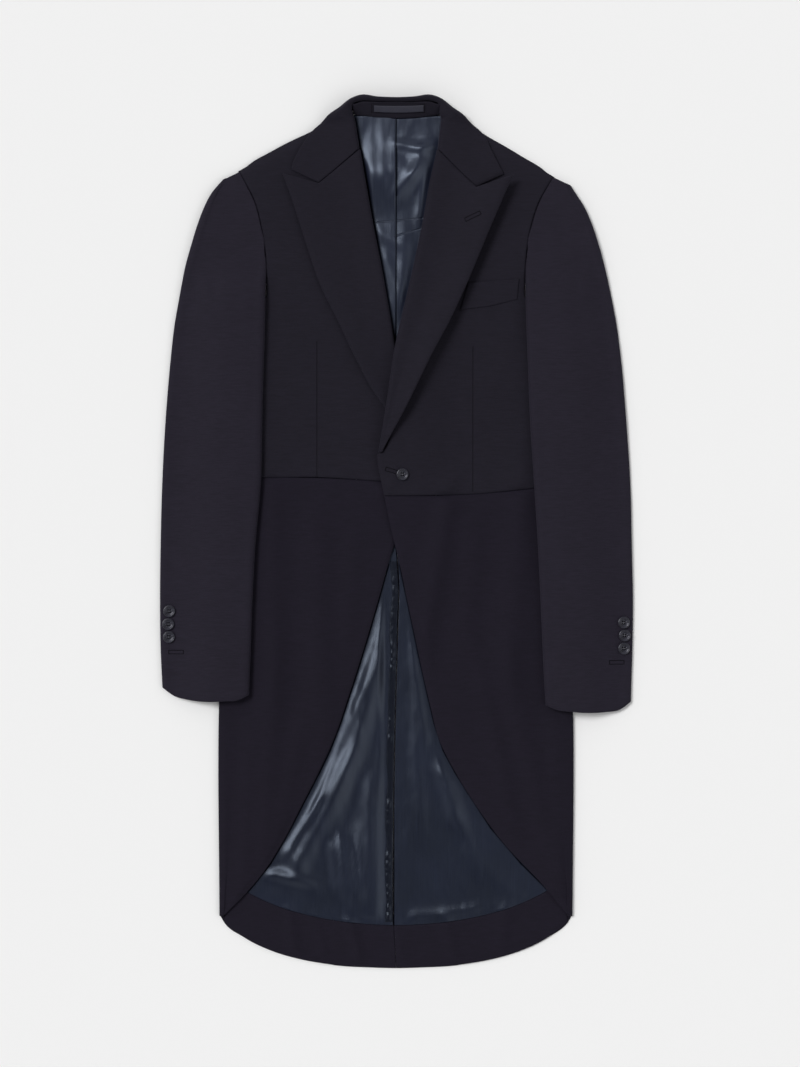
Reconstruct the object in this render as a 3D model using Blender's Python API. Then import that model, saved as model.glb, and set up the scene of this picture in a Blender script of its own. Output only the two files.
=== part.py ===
"""A morning coat laid flat on its back, as thin closed cloth walls.

Sizes are millimetres and are drawn in metres. A point is given by "out", its distance
outward from the coat's centre line towards the side it belongs to, and by y, which runs
from the hem at -530 to the collar at +530. z is height above the surface it lies on.
Sides are the wearer's: right lies at negative x and left at positive x.
"""

import bpy
import numpy as np
from mathutils import Matrix

MM = 0.001
SIGN = {"right": -1.0, "left": 1.0}
SIDE_COLUMN = {"right": 1, "left": 2}
SIGN_OF_VENT = {"right": 1.0, "left": -1.0}

# Cloth walls and the room between the layers
BACK_WALL = 1.5
SKIRT_WALL = 2.4
FRONT_WALL = 3.0
SLEEVE_WALL = 2.2
LAPEL_WALL = 2.2
COLLAR_WALL = 2.0
LINING_WALL = 0.6
FACING_WALL = 0.8
SEAM = 0.35
HIDDEN_SEAM = 1.3
LAYER_GAP = 0.4
BODY_ROOM = 1.2
CHEST_PAD = 1.3
SHOULDER_PAD = 2.6
SLEEVE_DEPTH = 5.2
SLEEVE_REST = 0.7

# Where the pieces end
HIP_Y = 285.0
SIDE_SEAM_OUT = 194.0
ARM_HOOK = 28.0
HIND_HOOK = 34.0
LAPEL_FOOT_Y = 95.0
CORNER_Y = -466.5
BUTTON_ACROSS = 14.6
BUTTON_THICK = 2.6

# Columns: y, then the outward distance on the right and on the left side
ROLL_LINE = (
    (88, -21.9, -22.5),
    (160, -9.7, -11.0),
    (229, 1.3, -0.4),
    (253, 5.4, 4.9),
    (315, 16.1, 19.4),
    (375, 27.8, 32.1),
    (430, 37.4, 42.0),
    (465, 43.3, 49.8),
    (500, 49.0, 54.0),
)
LAPEL_EDGE = (
    (88, -21.9, -21.8),
    (117, -4.9, -6.1),
    (150, 13.5, 12.0),
    (172, 28.7, 22.8),
    (214, 51.0, 43.3),
    (256, 70.7, 65.6),
    (296, 90.6, 84.0),
    (338, 105.5, 101.8),
    (368, 115.0, 114.2),
    (400, 125.3, 128.0),
    (434, 137.3, 142.6),
)
FRONT_EDGE = (
    (-467.5, 212.5, 214.5),
    (-455, 194.0, 203.4),
    (-433, 176.0, 182.0),
    (-403, 151.8, 151.7),
    (-369, 132.5, 122.0),
    (-318, 105.9, 87.7),
    (-266, 79.9, 57.5),
    (-200, 56.5, 38.8),
    (-125, 33.0, 22.4),
    (-66, 16.1, 9.8),
    (-40, 8.8, 4.5),
    (-14, 1.4, -2.0),
    (6.5, -6.1, -6.9),
    (26, -12.2, -12.6),
    (43, -14.6, -14.2),
    (60, -17.0, -16.5),
    (88, -21.9, -22.5),
)
# Columns: outward distance, then y on the right and on the left side
WAIST = (
    (-24, 58.3, 43.0),
    (17.5, 60.6, 43.2),
    (41, 62.2, 43.4),
    (93, 65.5, 45.1),
    (155, 65.1, 50.8),
    (216, 66.2, 57.7),
)
SHOULDER = (
    (48, 531.0, 531.0),
    (72, 512.0, 512.0),
    (100, 490.8, 489.8),
    (120, 479.3, 476.0),
    (140, 468.3, 463.9),
    (160, 457.4, 451.9),
    (190, 440.4, 433.9),
    (205, 431.3, 424.2),
)
# Columns: y, inner and outer fold of the right sleeve, inner and outer fold of the left
SLEEVE = (
    (-215, 178.3, 283.2, 182.2, 285.0),
    (-200, 178.0, 283.6, 181.5, 285.3),
    (-165, 176.8, 285.2, 179.0, 286.2),
    (-120, 175.0, 286.2, 177.0, 287.9),
    (-60, 173.2, 286.5, 174.0, 287.2),
    (0, 169.0, 285.4, 171.2, 286.0),
    (54, 164.0, 284.0, 167.7, 284.8),
    (110, 162.6, 281.5, 163.5, 281.2),
    (177, 161.0, 276.4, 161.1, 276.4),
    (250, 158.8, 269.0, 158.0, 268.0),
    (290, 158.0, 262.0, 157.0, 260.5),
    (325, 157.6, 255.0, 157.7, 252.5),
    (355, 160.8, 246.3, 161.0, 244.0),
    (380, 166.0, 238.4, 166.8, 235.0),
    (400, 171.5, 229.7, 174.0, 225.0),
    (415, 178.5, 220.5, 181.7, 214.5),
    (431, 187.5, 204.8, 191.3, 204.1),
    (438, 190.5, 196.0, 194.5, 196.5),
)
SLEEVE_TOP = {"right": 437.0, "left": 430.5}
# Columns: share of the way across the cuff, y on the right and on the left side
CUFF = (
    (0.0, -197.4, -210.2),
    (0.06, -201.4, -213.5),
    (0.33, -205.9, -218.6),
    (0.66, -204.7, -219.2),
    (0.9, -197.4, -214.5),
    (1.0, -189.0, -206.0),
)
# Columns: y, outward distance
BODY_SIDE = (
    (-467, 214.6),
    (-210, 215.1),
    (-80, 210.0),
    (0, 206.0),
    (60, 205.0),
    (140, 209.0),
    (200, 214.0),
    (290, 214.0),
)
BACK_SEAM = (
    (-527, 76.0),
    (-420, 75.0),
    (-250, 70.0),
    (-80, 60.0),
    (0, 52.0),
    (60, 48.0),
    (120, 58.0),
    (180, 82.0),
    (230, 112.0),
    (270, 140.0),
    (300, 156.0),
)
VENT_LINE = (
    (-530, 0.4),
    (-478, -2.7),
    (-330, -2.7),
    (-244, -1.3),
    (-137, 1.6),
    (-43, 2.6),
    (-20, 0.0),
    (60, 0.0),
    (510, 0.0),
)
# Columns: outward distance, y
HEM = (
    (-40, -529.2),
    (0, -530.3),
    (35, -529.3),
    (64, -527.9),
    (100, -523.1),
    (136, -514.6),
    (168, -502.4),
    (189, -490.3),
    (205, -478.1),
    (214.6, -467.0),
)
HEM_TOP = (
    (-20, -478.0),
    (0, -478.5),
    (30, -477.3),
    (70, -473.2),
    (113, -464.7),
    (150, -452.8),
    (181, -438.0),
    (196, -429.5),
    (210, -420.0),
)
# Columns: y, height of the left front where it laps over the right one
LAP = ((-80, 0.0), (-20, 3.5), (20, 3.8), (60, 5.4), (95, 6.6), (235, 6.6), (290, 0.0), (330, 0.0))
# Peak and notch, as outward distance and y
GORGE = {
    "right": {"notch": (93.6, 422.2), "peak": (137.3, 433.8), "collar": (127.1, 438.6)},
    "left": {"notch": (97.0, 418.0), "peak": (141.5, 428.5), "collar": (130.4, 433.4)},
}
# Columns: roll out and y, edge out and y, under end out and y, height of the roll, wrap
COLLAR = {
    "right": (
        (43.6, 465.4, 127.1, 438.6, 127.1, 438.6, 0.0, 0),
        (44.9, 474.0, 123.9, 449.8, 123.9, 449.8, 0.3, 0),
        (46.3, 483.0, 116.0, 465.0, 116.0, 465.0, 0.7, 0),
        (47.8, 492.0, 107.0, 478.5, 107.0, 478.5, 1.3, 0),
        (49.3, 500.0, 98.5, 488.6, 98.5, 488.6, 2.0, 0),
    ),
    "left": (
        (50.1, 464.8, 130.4, 433.4, 130.4, 433.4, 0.0, 0),
        (51.0, 474.0, 123.2, 448.0, 123.2, 448.0, 0.3, 0),
        (52.0, 483.0, 115.4, 463.4, 115.4, 463.4, 0.7, 0),
        (53.3, 492.0, 108.0, 478.5, 108.0, 478.5, 1.3, 0),
        (54.0, 500.0, 99.5, 488.0, 99.5, 488.0, 2.0, 0),
    ),
}
COLLAR_NECK = (
    (52.6, 508.0, 84.0, 502.8, 79.0, 498.0, 12.2, 1),
    (52.9, 514.0, 69.5, 513.4, 63.5, 507.5, 13.0, 1),
    (50.5, 519.2, 56.0, 524.6, 50.0, 512.5, 13.8, 1),
    (42.0, 521.6, 43.5, 529.4, 40.0, 511.0, 14.2, 1),
    (22.0, 520.9, 22.5, 527.4, 21.0, 509.0, 14.4, 1),
    (0.0, 520.5, 0.0, 526.5, 0.0, 508.0, 14.4, 1),
)
# Columns: outward distance, lower y of the stand
STAND_FOOT = ((-52.0, 506.5), (-24.0, 503.2), (0.0, 502.0), (27.0, 503.2), (56.0, 506.6))
# Stations along the armhole and the back seam, shared by the pieces that meet there
ARMHOLE_STATIONS = (300.0, 322.0, 345.0, 370.0, 398.0, 419.0)
ARM_STATIONS = (-200.0, -180.0, -150.0, -90.0, -20.0, 60.0, 140.0, 205.0, 250.0, 285.0)
BACK_STATIONS = (92.0, 120.0, 150.0, 180.0, 210.0, 240.0, 265.0, HIP_Y)
TAIL_STATIONS = 13

# Columns: side, then outward distance and y of the button's centre
CUFF_BUTTONS = (
    ("right", 275.0, -96.6),
    ("right", 276.3, -112.2),
    ("right", 275.4, -127.9),
    ("left", 276.4, -110.4),
    ("left", 277.4, -126.1),
    ("left", 276.6, -141.9),
)
FRONT_BUTTON = (7.8, 69.4)
WELT_LOWER = ((78.0, 269.0), (114.2, 273.6), (147.0, 281.5))
WELT_UPPER = ((88.0, 301.6), (119.0, 304.2), (149.4, 306.3))
LOOP_BOX = {"out": (-26.5, 33.4), "share": (0.38, 0.8), "lift": 0.4, "thick": 1.2}


def at(table, key, column=1):
    """Value of a table's column at a key, on a smooth line through its rows."""
    rows = np.array(sorted(table), float)
    keys = rows[:, 0]
    values = rows[:, column]
    slopes = np.gradient(values, keys)
    key = np.clip(np.asarray(key, float), keys[0], keys[-1])
    low = np.clip(np.searchsorted(keys, key) - 1, 0, len(keys) - 2)
    step = keys[low + 1] - keys[low]
    t = (key - keys[low]) / step
    start = (2 * t**3 - 3 * t**2 + 1) * values[low]
    leave = (t**3 - 2 * t**2 + t) * step * slopes[low]
    end = (3 * t**2 - 2 * t**3) * values[low + 1]
    reach = (t**3 - t**2) * step * slopes[low + 1]
    return start + leave + end + reach


def ramp(value, start, end):
    """Smooth rise from 0 at start to 1 at end."""
    t = np.clip((np.asarray(value, float) - start) / (end - start), 0.0, 1.0)
    return t * t * (3.0 - 2.0 * t)


def bell(t):
    return np.exp(-np.square(t))


def mix(a, b, share):
    return a + (b - a) * share


# Heights of the layers


def back_high(out):
    """Upper face of the back, which lies flat on the floor."""
    return np.full(np.shape(out), BACK_WALL)


def below_shoulder(side, out, y):
    return at(SHOULDER, out, SIDE_COLUMN[side]) - y


def front_low(side, out, y):
    """Underside of the forepart and of the skirt's upper layer."""
    room = BODY_ROOM * ramp(below_shoulder(side, out, y), -1, 15)
    low = back_high(out) + LAYER_GAP + room
    if side == "left":
        low = low + at(LAP, y) * (1 - ramp(out, 25, 78))
    return low


def front_wall(side, out, y):
    chest = CHEST_PAD * bell((out - 95) / 62) * bell((y - 300) / 85)
    pad = SHOULDER_PAD * bell((out - 140) / 50) * bell((y - 425) / 42)
    edge = 0.5 + 0.5 * ramp(below_shoulder(side, out, y), -1, 12)
    return (FRONT_WALL + chest + pad) * edge


def front_high(side, out, y):
    return front_low(side, out, y) + front_wall(side, out, y)


def sleeve_columns(side):
    return (1, 2) if side == "right" else (3, 4)


def sleeve_edges(side, y):
    """Inner and outer fold of the sleeve at one station, as points (out, y)."""
    inner, outer = sleeve_columns(side)
    slant = 10.0 * ramp(y, 375, SLEEVE_TOP[side])
    return (
        np.array([at(SLEEVE, y, inner), y]),
        np.array([at(SLEEVE, y - slant, outer), y - slant]),
    )


def arm_share(y):
    """1 where the sleeve is a tube on the body, 0 where it is set into the armhole."""
    return 1 - ramp(y, 290, 348)


def sleeve_low(side, out, y):
    """What the sleeve's lower layer rests on: the body, then the floor."""
    edge = at(BODY_SIDE, y)
    outer = at(SLEEVE, y, sleeve_columns(side)[1])
    body = front_high(side, np.minimum(out, edge), y) + SLEEVE_REST
    return body * (1 - ramp(out, edge + 1, outer - 4)) * arm_share(y)


def sleeve_high(side, out, y, share):
    """Top of the sleeve; share runs from 0 at the inner fold to 1 at the outer one."""
    arm = sleeve_low(side, out, y) + SLEEVE_DEPTH
    inner = at(SLEEVE, y, sleeve_columns(side)[0])
    seam = front_high(side, inner - 1.0, y) + 0.5
    cap = mix(seam, 8.0, ramp(share, 0, 1))
    top = mix(cap, arm, arm_share(y))
    return mix(5.2, top, ramp(SLEEVE_TOP[side] - y, -2, 26))


# Closed walls


def add_solid(name, side, low, high):
    """A closed wall between a grid of lower points and one of upper points, (out, y, z)."""
    rows, columns = low.shape[:2]
    points = np.concatenate([low.reshape(-1, 3), high.reshape(-1, 3)])
    points = points * np.array([SIGN[side], 1.0, 1.0])
    upper = rows * columns
    faces = []
    for r in range(rows - 1):
        for c in range(columns - 1):
            a = r * columns + c
            b = a + 1
            d = a + columns
            e = d + 1
            faces.append((upper + a, upper + b, upper + e, upper + d))
            faces.append((d, e, b, a))
    rim = [c for c in range(columns)]
    rim += [r * columns + columns - 1 for r in range(1, rows)]
    rim += [(rows - 1) * columns + c for c in range(columns - 2, -1, -1)]
    rim += [r * columns for r in range(rows - 2, 0, -1)]
    for a, b in zip(rim, rim[1:] + rim[:1]):
        faces.append((a, b, upper + b, upper + a))
    return add_mesh(name, points, faces)


def add_mesh(name, points, faces):
    triangles = [(f[0], f[i], f[i + 1]) for f in faces for i in range(1, len(f) - 1)]
    corners = points[np.array(triangles)]
    volume = np.einsum("ij,ij->i", corners[:, 0], np.cross(corners[:, 1], corners[:, 2])).sum()
    if volume < 0:
        faces = [tuple(reversed(f)) for f in faces]
    mesh = bpy.data.meshes.new(name)
    mesh.from_pydata([tuple(p * MM) for p in points], [], faces)
    mesh.update()
    made = bpy.data.objects.new(name, mesh)
    bpy.context.scene.collection.objects.link(made)
    return made


def grid_normals(mid):
    down = np.gradient(mid, axis=0)
    across = np.gradient(mid, axis=1)
    normal = np.cross(across, down)
    return normal / np.linalg.norm(normal, axis=2, keepdims=True)


def add_wall(name, side, mid, wall):
    """A wall of the given thickness about a grid of middle points."""
    offset = grid_normals(mid) * (np.asarray(wall, float) / 2)[..., None]
    return add_solid(name, side, mid - offset, mid + offset)


def plan_between(inner, outer, shares):
    """Grid of plan points from an inner line of (out, y) to an outer one."""
    inner = np.asarray(inner, float)[:, None, :]
    outer = np.asarray(outer, float)[:, None, :]
    return inner + (outer - inner) * np.asarray(shares, float)[None, :, None]


def add_sheet(name, side, plan, low, high):
    """A wall between two height functions of (out, y) over a plan grid."""
    out = plan[..., 0]
    y = plan[..., 1]
    lower = np.stack([out, y, low(out, y)], axis=2)
    upper = np.stack([out, y, high(out, y)], axis=2)
    return add_solid(name, side, lower, upper)


# Body pieces


def armhole_out(side, y):
    return at(SLEEVE, y, sleeve_columns(side)[0]) - SEAM


def back_centre(side, y):
    """Outward distance of the centre back seam and, below it, of the vent's edge."""
    return -SIGN_OF_VENT[side] * at(VENT_LINE, y) + SEAM / 2


def make_back(side):
    column = SIDE_COLUMN[side]
    inner = []
    outer = []
    for share in np.linspace(0, 1, TAIL_STATIONS):
        inner.append((0, mix(-529.8, 60, share)))
        outer.append((0, mix(-527.0, 60, share)))
    for y in BACK_STATIONS:
        inner.append((0, y))
        outer.append((0, y))
    top = SLEEVE_TOP[side]
    for y in ARMHOLE_STATIONS:
        inner.append((0, mix(y, 503, ramp(y, 300, top) * 0.9)))
        outer.append((0, y))
    inner.append((0, 504.0))
    outer.append((0, top - 1))
    inner = [(back_centre(side, y), y) for _, y in inner]
    outer = [(armhole_out(side, y) if y >= 300 else at(BACK_SEAM, y) - 0.2, y) for _, y in outer]
    shares = (0, 0.25, 0.5, 0.62, 0.8, 1)
    plan = plan_between(inner, outer, shares)
    foot = at(HEM, plan[0, :, 0])
    plan[0, :, 1] = foot
    head = plan[-1, :, 0]
    line = at(SHOULDER, head, column) - mix(10.0, 2.0, ramp(head, 95, 125))
    neck = 503.5 + 3.0 * ramp(head, 25, 42)
    plan[-1, :, 1] = np.where(head < 60, neck, line)
    add_sheet(
        f"back_{side}",
        side,
        plan,
        lambda out, y: np.zeros(np.shape(out)),
        lambda out, y: back_high(out),
    )


def fold_section(top_out, top_y, top_z, side_out, side_y, under_out, under_y, arc=3):
    """Middle line of a layer that runs out on top, folds at the side and returns below."""
    low_z = BACK_WALL / 2
    radius = (top_z[-1] - low_z) / 2
    points = [(o, y, z) for o, y, z in zip(top_out, top_y, top_z)]
    centre = side_out - radius
    for k in range(1, arc + 1):
        angle = np.pi * k / (arc + 1)
        points.append(
            (centre + radius * np.sin(angle), side_y, low_z + radius * (1 + np.cos(angle)))
        )
    points += [(o, y, low_z) for o, y in zip(under_out, under_y)]
    return points


def fold_walls(top_wall, top_count, arc, under_count):
    blend = [mix(top_wall, BACK_WALL, k / (arc + 1)) for k in range(1, arc + 1)]
    return [top_wall] * top_count + blend + [BACK_WALL] * under_count


def under_waist(side, out):
    """The waist seam on the underside, a straight line from the side to the back seam."""
    end = at(BODY_SIDE, 60) - SKIRT_WALL / 2
    side_y = at(WAIST, end, SIDE_COLUMN[side])
    seam = at(BACK_SEAM, 60)
    return mix(60.0, side_y, (np.asarray(out) - seam) / (end - seam))


def make_side_body(side):
    rows = []
    column = SIDE_COLUMN[side]
    stations = (None,) + BACK_STATIONS
    for station in stations:
        out_side = at(BODY_SIDE, 60 if station is None else station) - SKIRT_WALL / 2
        seam = at(BACK_SEAM, 60 if station is None else station) + 0.2
        top_out = np.array([SIDE_SEAM_OUT + SEAM, out_side - 4.5, out_side - 2.6])
        under_out = np.array([out_side - 2.6, mix(out_side, seam, 0.35), mix(out_side, seam, 0.7), seam])
        if station is None:
            top_y = at(WAIST, top_out, column) + 0.5
            side_y = at(WAIST, out_side, column) + 0.5
            under_y = under_waist(side, under_out) + 0.5
        else:
            top_y = np.full(3, station)
            side_y = station
            under_y = np.full(4, station)
        top_z = front_low(side, top_out, top_y) + SKIRT_WALL / 2
        rows.append(fold_section(top_out, top_y, top_z, out_side, side_y, under_out, under_y))
    wall = np.array([fold_walls(SKIRT_WALL, 3, 3, 4)] * len(rows))
    add_wall(f"side_body_{side}", side, np.array(rows), wall)


def lapel_hook(side, y):
    """How far the lapel's turned-in edge reaches under the roll."""
    width = at(LAPEL_EDGE, y, SIDE_COLUMN[side]) - at(ROLL_LINE, y, SIDE_COLUMN[side])
    return np.clip(0.5 * width + 0.6, 2.6, 9.0)


def front_inner(side, y):
    column = SIDE_COLUMN[side]
    if y < LAPEL_FOOT_Y - 1:
        return at(FRONT_EDGE, y, column)
    return at(ROLL_LINE, y, column) + lapel_hook(side, y) + HIDDEN_SEAM


def make_forepart(side):
    column = SIDE_COLUMN[side]
    top = SLEEVE_TOP[side]
    waist_in = at(WAIST, -17, column) + 2 * SEAM
    rows = [
        (waist_in, None),
        (88.0, 92.0),
        (LAPEL_FOOT_Y - 1.6, 100.0),
        (LAPEL_FOOT_Y + 1.4, 105.0),
        (130.0, 140.0),
        (175.0, 180.0),
        (215.0, 215.0),
        (252.0, 240.0),
        (290.0, 258.0),
        (322.0, 284.0),
        (348.0, 300.0),
        (372.0, 322.0),
        (398.0, 345.0),
        (424.0, 370.0),
        (450.0, 398.0),
        (472.0, 419.0),
        (490.0, top - 1),
    ]
    inner = []
    outer = []
    for inner_y, outer_y in rows:
        inner.append((front_inner(side, inner_y), inner_y))
        if outer_y is None:
            outer.append((SIDE_SEAM_OUT, at(WAIST, SIDE_SEAM_OUT, column) + 2 * SEAM))
        elif outer_y >= 300:
            outer.append((armhole_out(side, outer_y), outer_y))
        else:
            share = ramp(outer_y, 256, 287)
            outer.append((mix(SIDE_SEAM_OUT, armhole_out(side, 300), share), outer_y))
    shares = (0, 0.1, 0.25, 0.42, 0.58, 0.74, 0.88, 1)
    plan = plan_between(inner, outer, shares)
    plan[0, :, 1] = at(WAIST, plan[0, :, 0], column) + 2 * SEAM
    # The last rows follow the shoulder's silhouette
    for row, inset in ((-1, 0.8), (-2, 9.0)):
        line = at(SHOULDER, plan[row, :, 0], column) - inset - 4 * (1 - ramp(plan[row, :, 0], 98, 125))
        hold = ramp(plan[row, :, 0], 66, 100)
        plan[row, :, 1] = mix(plan[row, :, 1], line, hold if row == -1 else hold * 0.55)
    plan[-2, -1, 1] = 419.0
    plan[-2, -2, 1] = mix(plan[-2, -2, 1], 423.0, 0.5)
    plan[-1, 0, 1] = 494.0
    plan[-1, -1, 1] = top - 1
    add_sheet(
        f"forepart_{side}",
        side,
        plan,
        lambda out, y: front_low(side, out, y),
        lambda out, y: front_high(side, out, y),
    )


def make_skirt(side):
    column = SIDE_COLUMN[side]
    rows = []
    for share in np.linspace(1, 0, TAIL_STATIONS):
        down = 1 - share
        side_out = at(BODY_SIDE, mix(60, CORNER_Y, down)) - SKIRT_WALL / 2
        last = side_out - 2.5
        edge_y = mix(at(WAIST, -16, column), CORNER_Y, down)
        edge = min(at(FRONT_EDGE, edge_y, column), last - 1.6)
        top_out = mix(edge, last, np.array([0, 0.12, 0.36, 0.64, 0.86, 1]))
        waist = at(WAIST, top_out, column)
        top_y = mix(waist, CORNER_Y, down)
        side_y = mix(at(WAIST, side_out, column), CORNER_Y - 0.4, down)
        under_start = mix(60.0, -527.0, down)
        seam = at(BACK_SEAM, under_start) + 0.2
        under_out = mix(side_out - 2.5, seam, np.array([0, 0.2, 0.45, 0.72, 1]))
        under_y = mix(under_waist(side, under_out), at(HEM, under_out) + 0.3, down)
        top_z = front_low(side, top_out, top_y) + SKIRT_WALL / 2
        rows.append(fold_section(top_out, top_y, top_z, side_out, side_y, under_out, under_y))
    wall = np.array([fold_walls(SKIRT_WALL, 6, 3, 5)] * len(rows))
    add_wall(f"skirt_{side}", side, np.array(rows), wall)


# Sleeves


def sleeve_frame(side, y):
    inner, outer = sleeve_edges(side, y)
    width = np.linalg.norm(outer - inner)
    return inner, (outer - inner) / width, width


def sleeve_spots(side, y, distances):
    """Plan points at distances from the inner fold, with the cuff's curve worked in."""
    inner, along, width = sleeve_frame(side, y)
    distances = np.asarray(distances, float)
    out = inner[0] + along[0] * distances
    line = inner[1] + along[1] * distances
    pull = 1 - ramp(y, -200, -120)
    cuff = at(CUFF, distances / width, SIDE_COLUMN[side])
    return out, line + pull * (cuff - cuff_end(side))


def cuff_end(side):
    return -200.0


def sleeve_reach(side, y):
    """Distances from the inner fold where the two turned-under edges end."""
    width = sleeve_frame(side, y)[2]
    return ARM_HOOK, mix(width - HIND_HOOK, 3.0, ramp(y, 265, 338))


def topsleeve_section(side, y):
    width = sleeve_frame(side, y)[2]
    half = SLEEVE_WALL / 2

    def low(distance):
        out, line = sleeve_spots(side, y, distance)
        return sleeve_low(side, out, line)

    def high(distance):
        out, line = sleeve_spots(side, y, distance)
        return sleeve_high(side, out, line, np.asarray(distance) / width)

    def radius(distance):
        return np.maximum((high(distance) - low(distance) - SLEEVE_WALL) / 2, 0.9)

    inner_r = float(radius(4.0))
    outer_r = float(radius(width - 4.0))
    start = inner_r + half
    end = width - outer_r - half
    arm_end, hind_end = sleeve_reach(side, y)
    distances = []
    heights = []
    curl = 1 - ramp(y, 287, 346)
    hook = mix(start, arm_end, np.array([1.0, 0.5, 0.0]))
    curled_d = list(hook)
    curled_z = list(low(hook) + half)
    centre = float(high(start)) - half - inner_r
    for angle in (-45, 0, 45):
        turn = np.radians(angle)
        curled_d.append(start - inner_r * np.cos(turn))
        curled_z.append(centre + inner_r * np.sin(turn))
    flat_d = mix(0.2, start, np.arange(6) / 6)
    flat_z = high(flat_d) - half
    turned = mix(flat_d, np.array(curled_d), curl)
    # The edge stays on the armhole seam while the fold opens out
    drift = turned.min() - mix(0.2, half + 0.05, np.sqrt(curl))
    distances += list(turned - drift * (1 - ramp(turned, 0, start + 2)))
    heights += list(mix(flat_z, np.array(curled_z), curl))
    upper = mix(start, end, np.array([0, 0.1, 0.28, 0.5, 0.72, 0.9, 1]))
    distances += list(upper)
    heights += list(high(upper) - half)
    centre = float(high(end)) - half - outer_r
    for angle in (45, 0, -45):
        turn = np.radians(angle)
        distances.append(end + outer_r * np.cos(turn))
        heights.append(centre + outer_r * np.sin(turn))
    back = mix(end, hind_end, np.array([0, 0.5, 1.0]))
    distances += list(back)
    heights += list(low(back) + half)
    out, line = sleeve_spots(side, y, distances)
    return np.stack([out, line, np.array(heights)], axis=1)


def sleeve_stations(side):
    return ARM_STATIONS + ARMHOLE_STATIONS + (SLEEVE_TOP[side] - 0.5,)


def make_topsleeve(side):
    rows = np.array([topsleeve_section(side, y) for y in sleeve_stations(side)])
    add_wall(f"topsleeve_{side}", side, rows, np.full(rows.shape[:2], SLEEVE_WALL))


def make_undersleeve(side):
    rows = []
    for y in ARM_STATIONS:
        inner, outer = sleeve_reach(side, y)
        spots = mix(inner + 2 * SEAM, outer - 2 * SEAM, np.linspace(0, 1, 6))
        out, line = sleeve_spots(side, y, spots)
        rows.append(np.stack([out, line], axis=1))
    add_sheet(
        f"undersleeve_{side}",
        side,
        np.array(rows),
        lambda out, y: sleeve_low(side, out, y),
        lambda out, y: sleeve_low(side, out, y) + SLEEVE_WALL,
    )


# Lapels and collar


def over_front(side, out, y, wall):
    return front_high(side, out, y) + LAYER_GAP + 0.3 + wall / 2


def roll_puff(side, y):
    """Extra height of the soft roll above a pressed fold."""
    if side == "right":
        return 2.2 * ramp(y, 232, 275)
    return 0.6 + 1.8 * ramp(y, 110, 200)


def make_lapel(side):
    column = SIDE_COLUMN[side]
    gorge = GORGE[side]
    half = LAPEL_WALL / 2
    rows = []
    top_roll = 464.2
    for v in (0, 0.04, 0.1, 0.17, 0.25, 0.35, 0.46, 0.58, 0.7, 0.8, 0.88, 0.95, 1):
        roll_y = mix(top_roll, LAPEL_FOOT_Y + 0.4, v)
        edge_y = mix(gorge["peak"][1], LAPEL_FOOT_Y + 1.5, v)
        roll = np.array([at(ROLL_LINE, roll_y, column), roll_y])
        edge = np.array([at(LAPEL_EDGE, edge_y, column), edge_y])
        if v == 0:
            edge = np.array(gorge["peak"])
            first = (roll, edge)
        width = np.linalg.norm(edge - roll)
        along = (edge - roll) / width
        core = front_low(side, roll[0] + 5, roll_y) + FRONT_WALL / 2
        rest = float(over_front(side, roll[0] + 4, roll_y, LAPEL_WALL))
        radius = (rest - core + roll_puff(side, roll_y)) / 2
        hook = lapel_hook(side, roll_y)
        near = min(radius + half, 0.7 * hook)
        d = [hook, (hook + near) / 2]
        z = [core, core]
        for angle in (-60, 0, 60):
            turn = np.radians(angle)
            d.append(near - (near - half) * np.cos(turn))
            z.append(core + radius + radius * np.sin(turn))
        leaf = mix(near, max(width, near + 3.0), np.array([0, 0.12, 0.35, 0.592, 0.8, 1]))
        for distance in leaf:
            spot = roll + along * distance
            lie = float(over_front(side, spot[0], spot[1], LAPEL_WALL))
            lifted = roll_puff(side, roll_y) + rest - float(over_front(side, roll[0] + near, roll_y, LAPEL_WALL))
            share = distance / max(width, 12.0)
            edge_lift = 1.6 * ramp(share, 0.3, 1.0) * ramp(roll_y, 95, 160)
            d.append(distance)
            z.append(lie + lifted * (1 - ramp(distance, near, near + 30)) + edge_lift)
        d = np.array(d)
        plan = roll + along * d[:, None]
        bend = 1 - ramp(v, 0, 0.3)
        if bend > 0:
            plan = plan + bend * notch_bend(first, gorge["notch"], d / width)
        rows.append(np.column_stack([plan, z]))
    rows = np.array(rows)
    add_wall(f"lapel_{side}", side, rows, np.full(rows.shape[:2], LAPEL_WALL))


def notch_bend(line, notch, shares):
    """How far the bent gorge line lies from the straight one at each share."""
    start, end = line
    notch = np.array(notch)
    split = np.linalg.norm(notch - start)
    split = split / (split + np.linalg.norm(end - notch))
    shares = np.clip(shares, 0, 1)[:, None]
    near = start + (notch - start) * np.minimum(shares / split, 1)
    far = notch + (end - notch) * np.clip((shares - split) / (1 - split), 0, 1)
    bent = np.where(shares < split, near, far)
    return bent - (start + (end - start) * shares)


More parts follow.
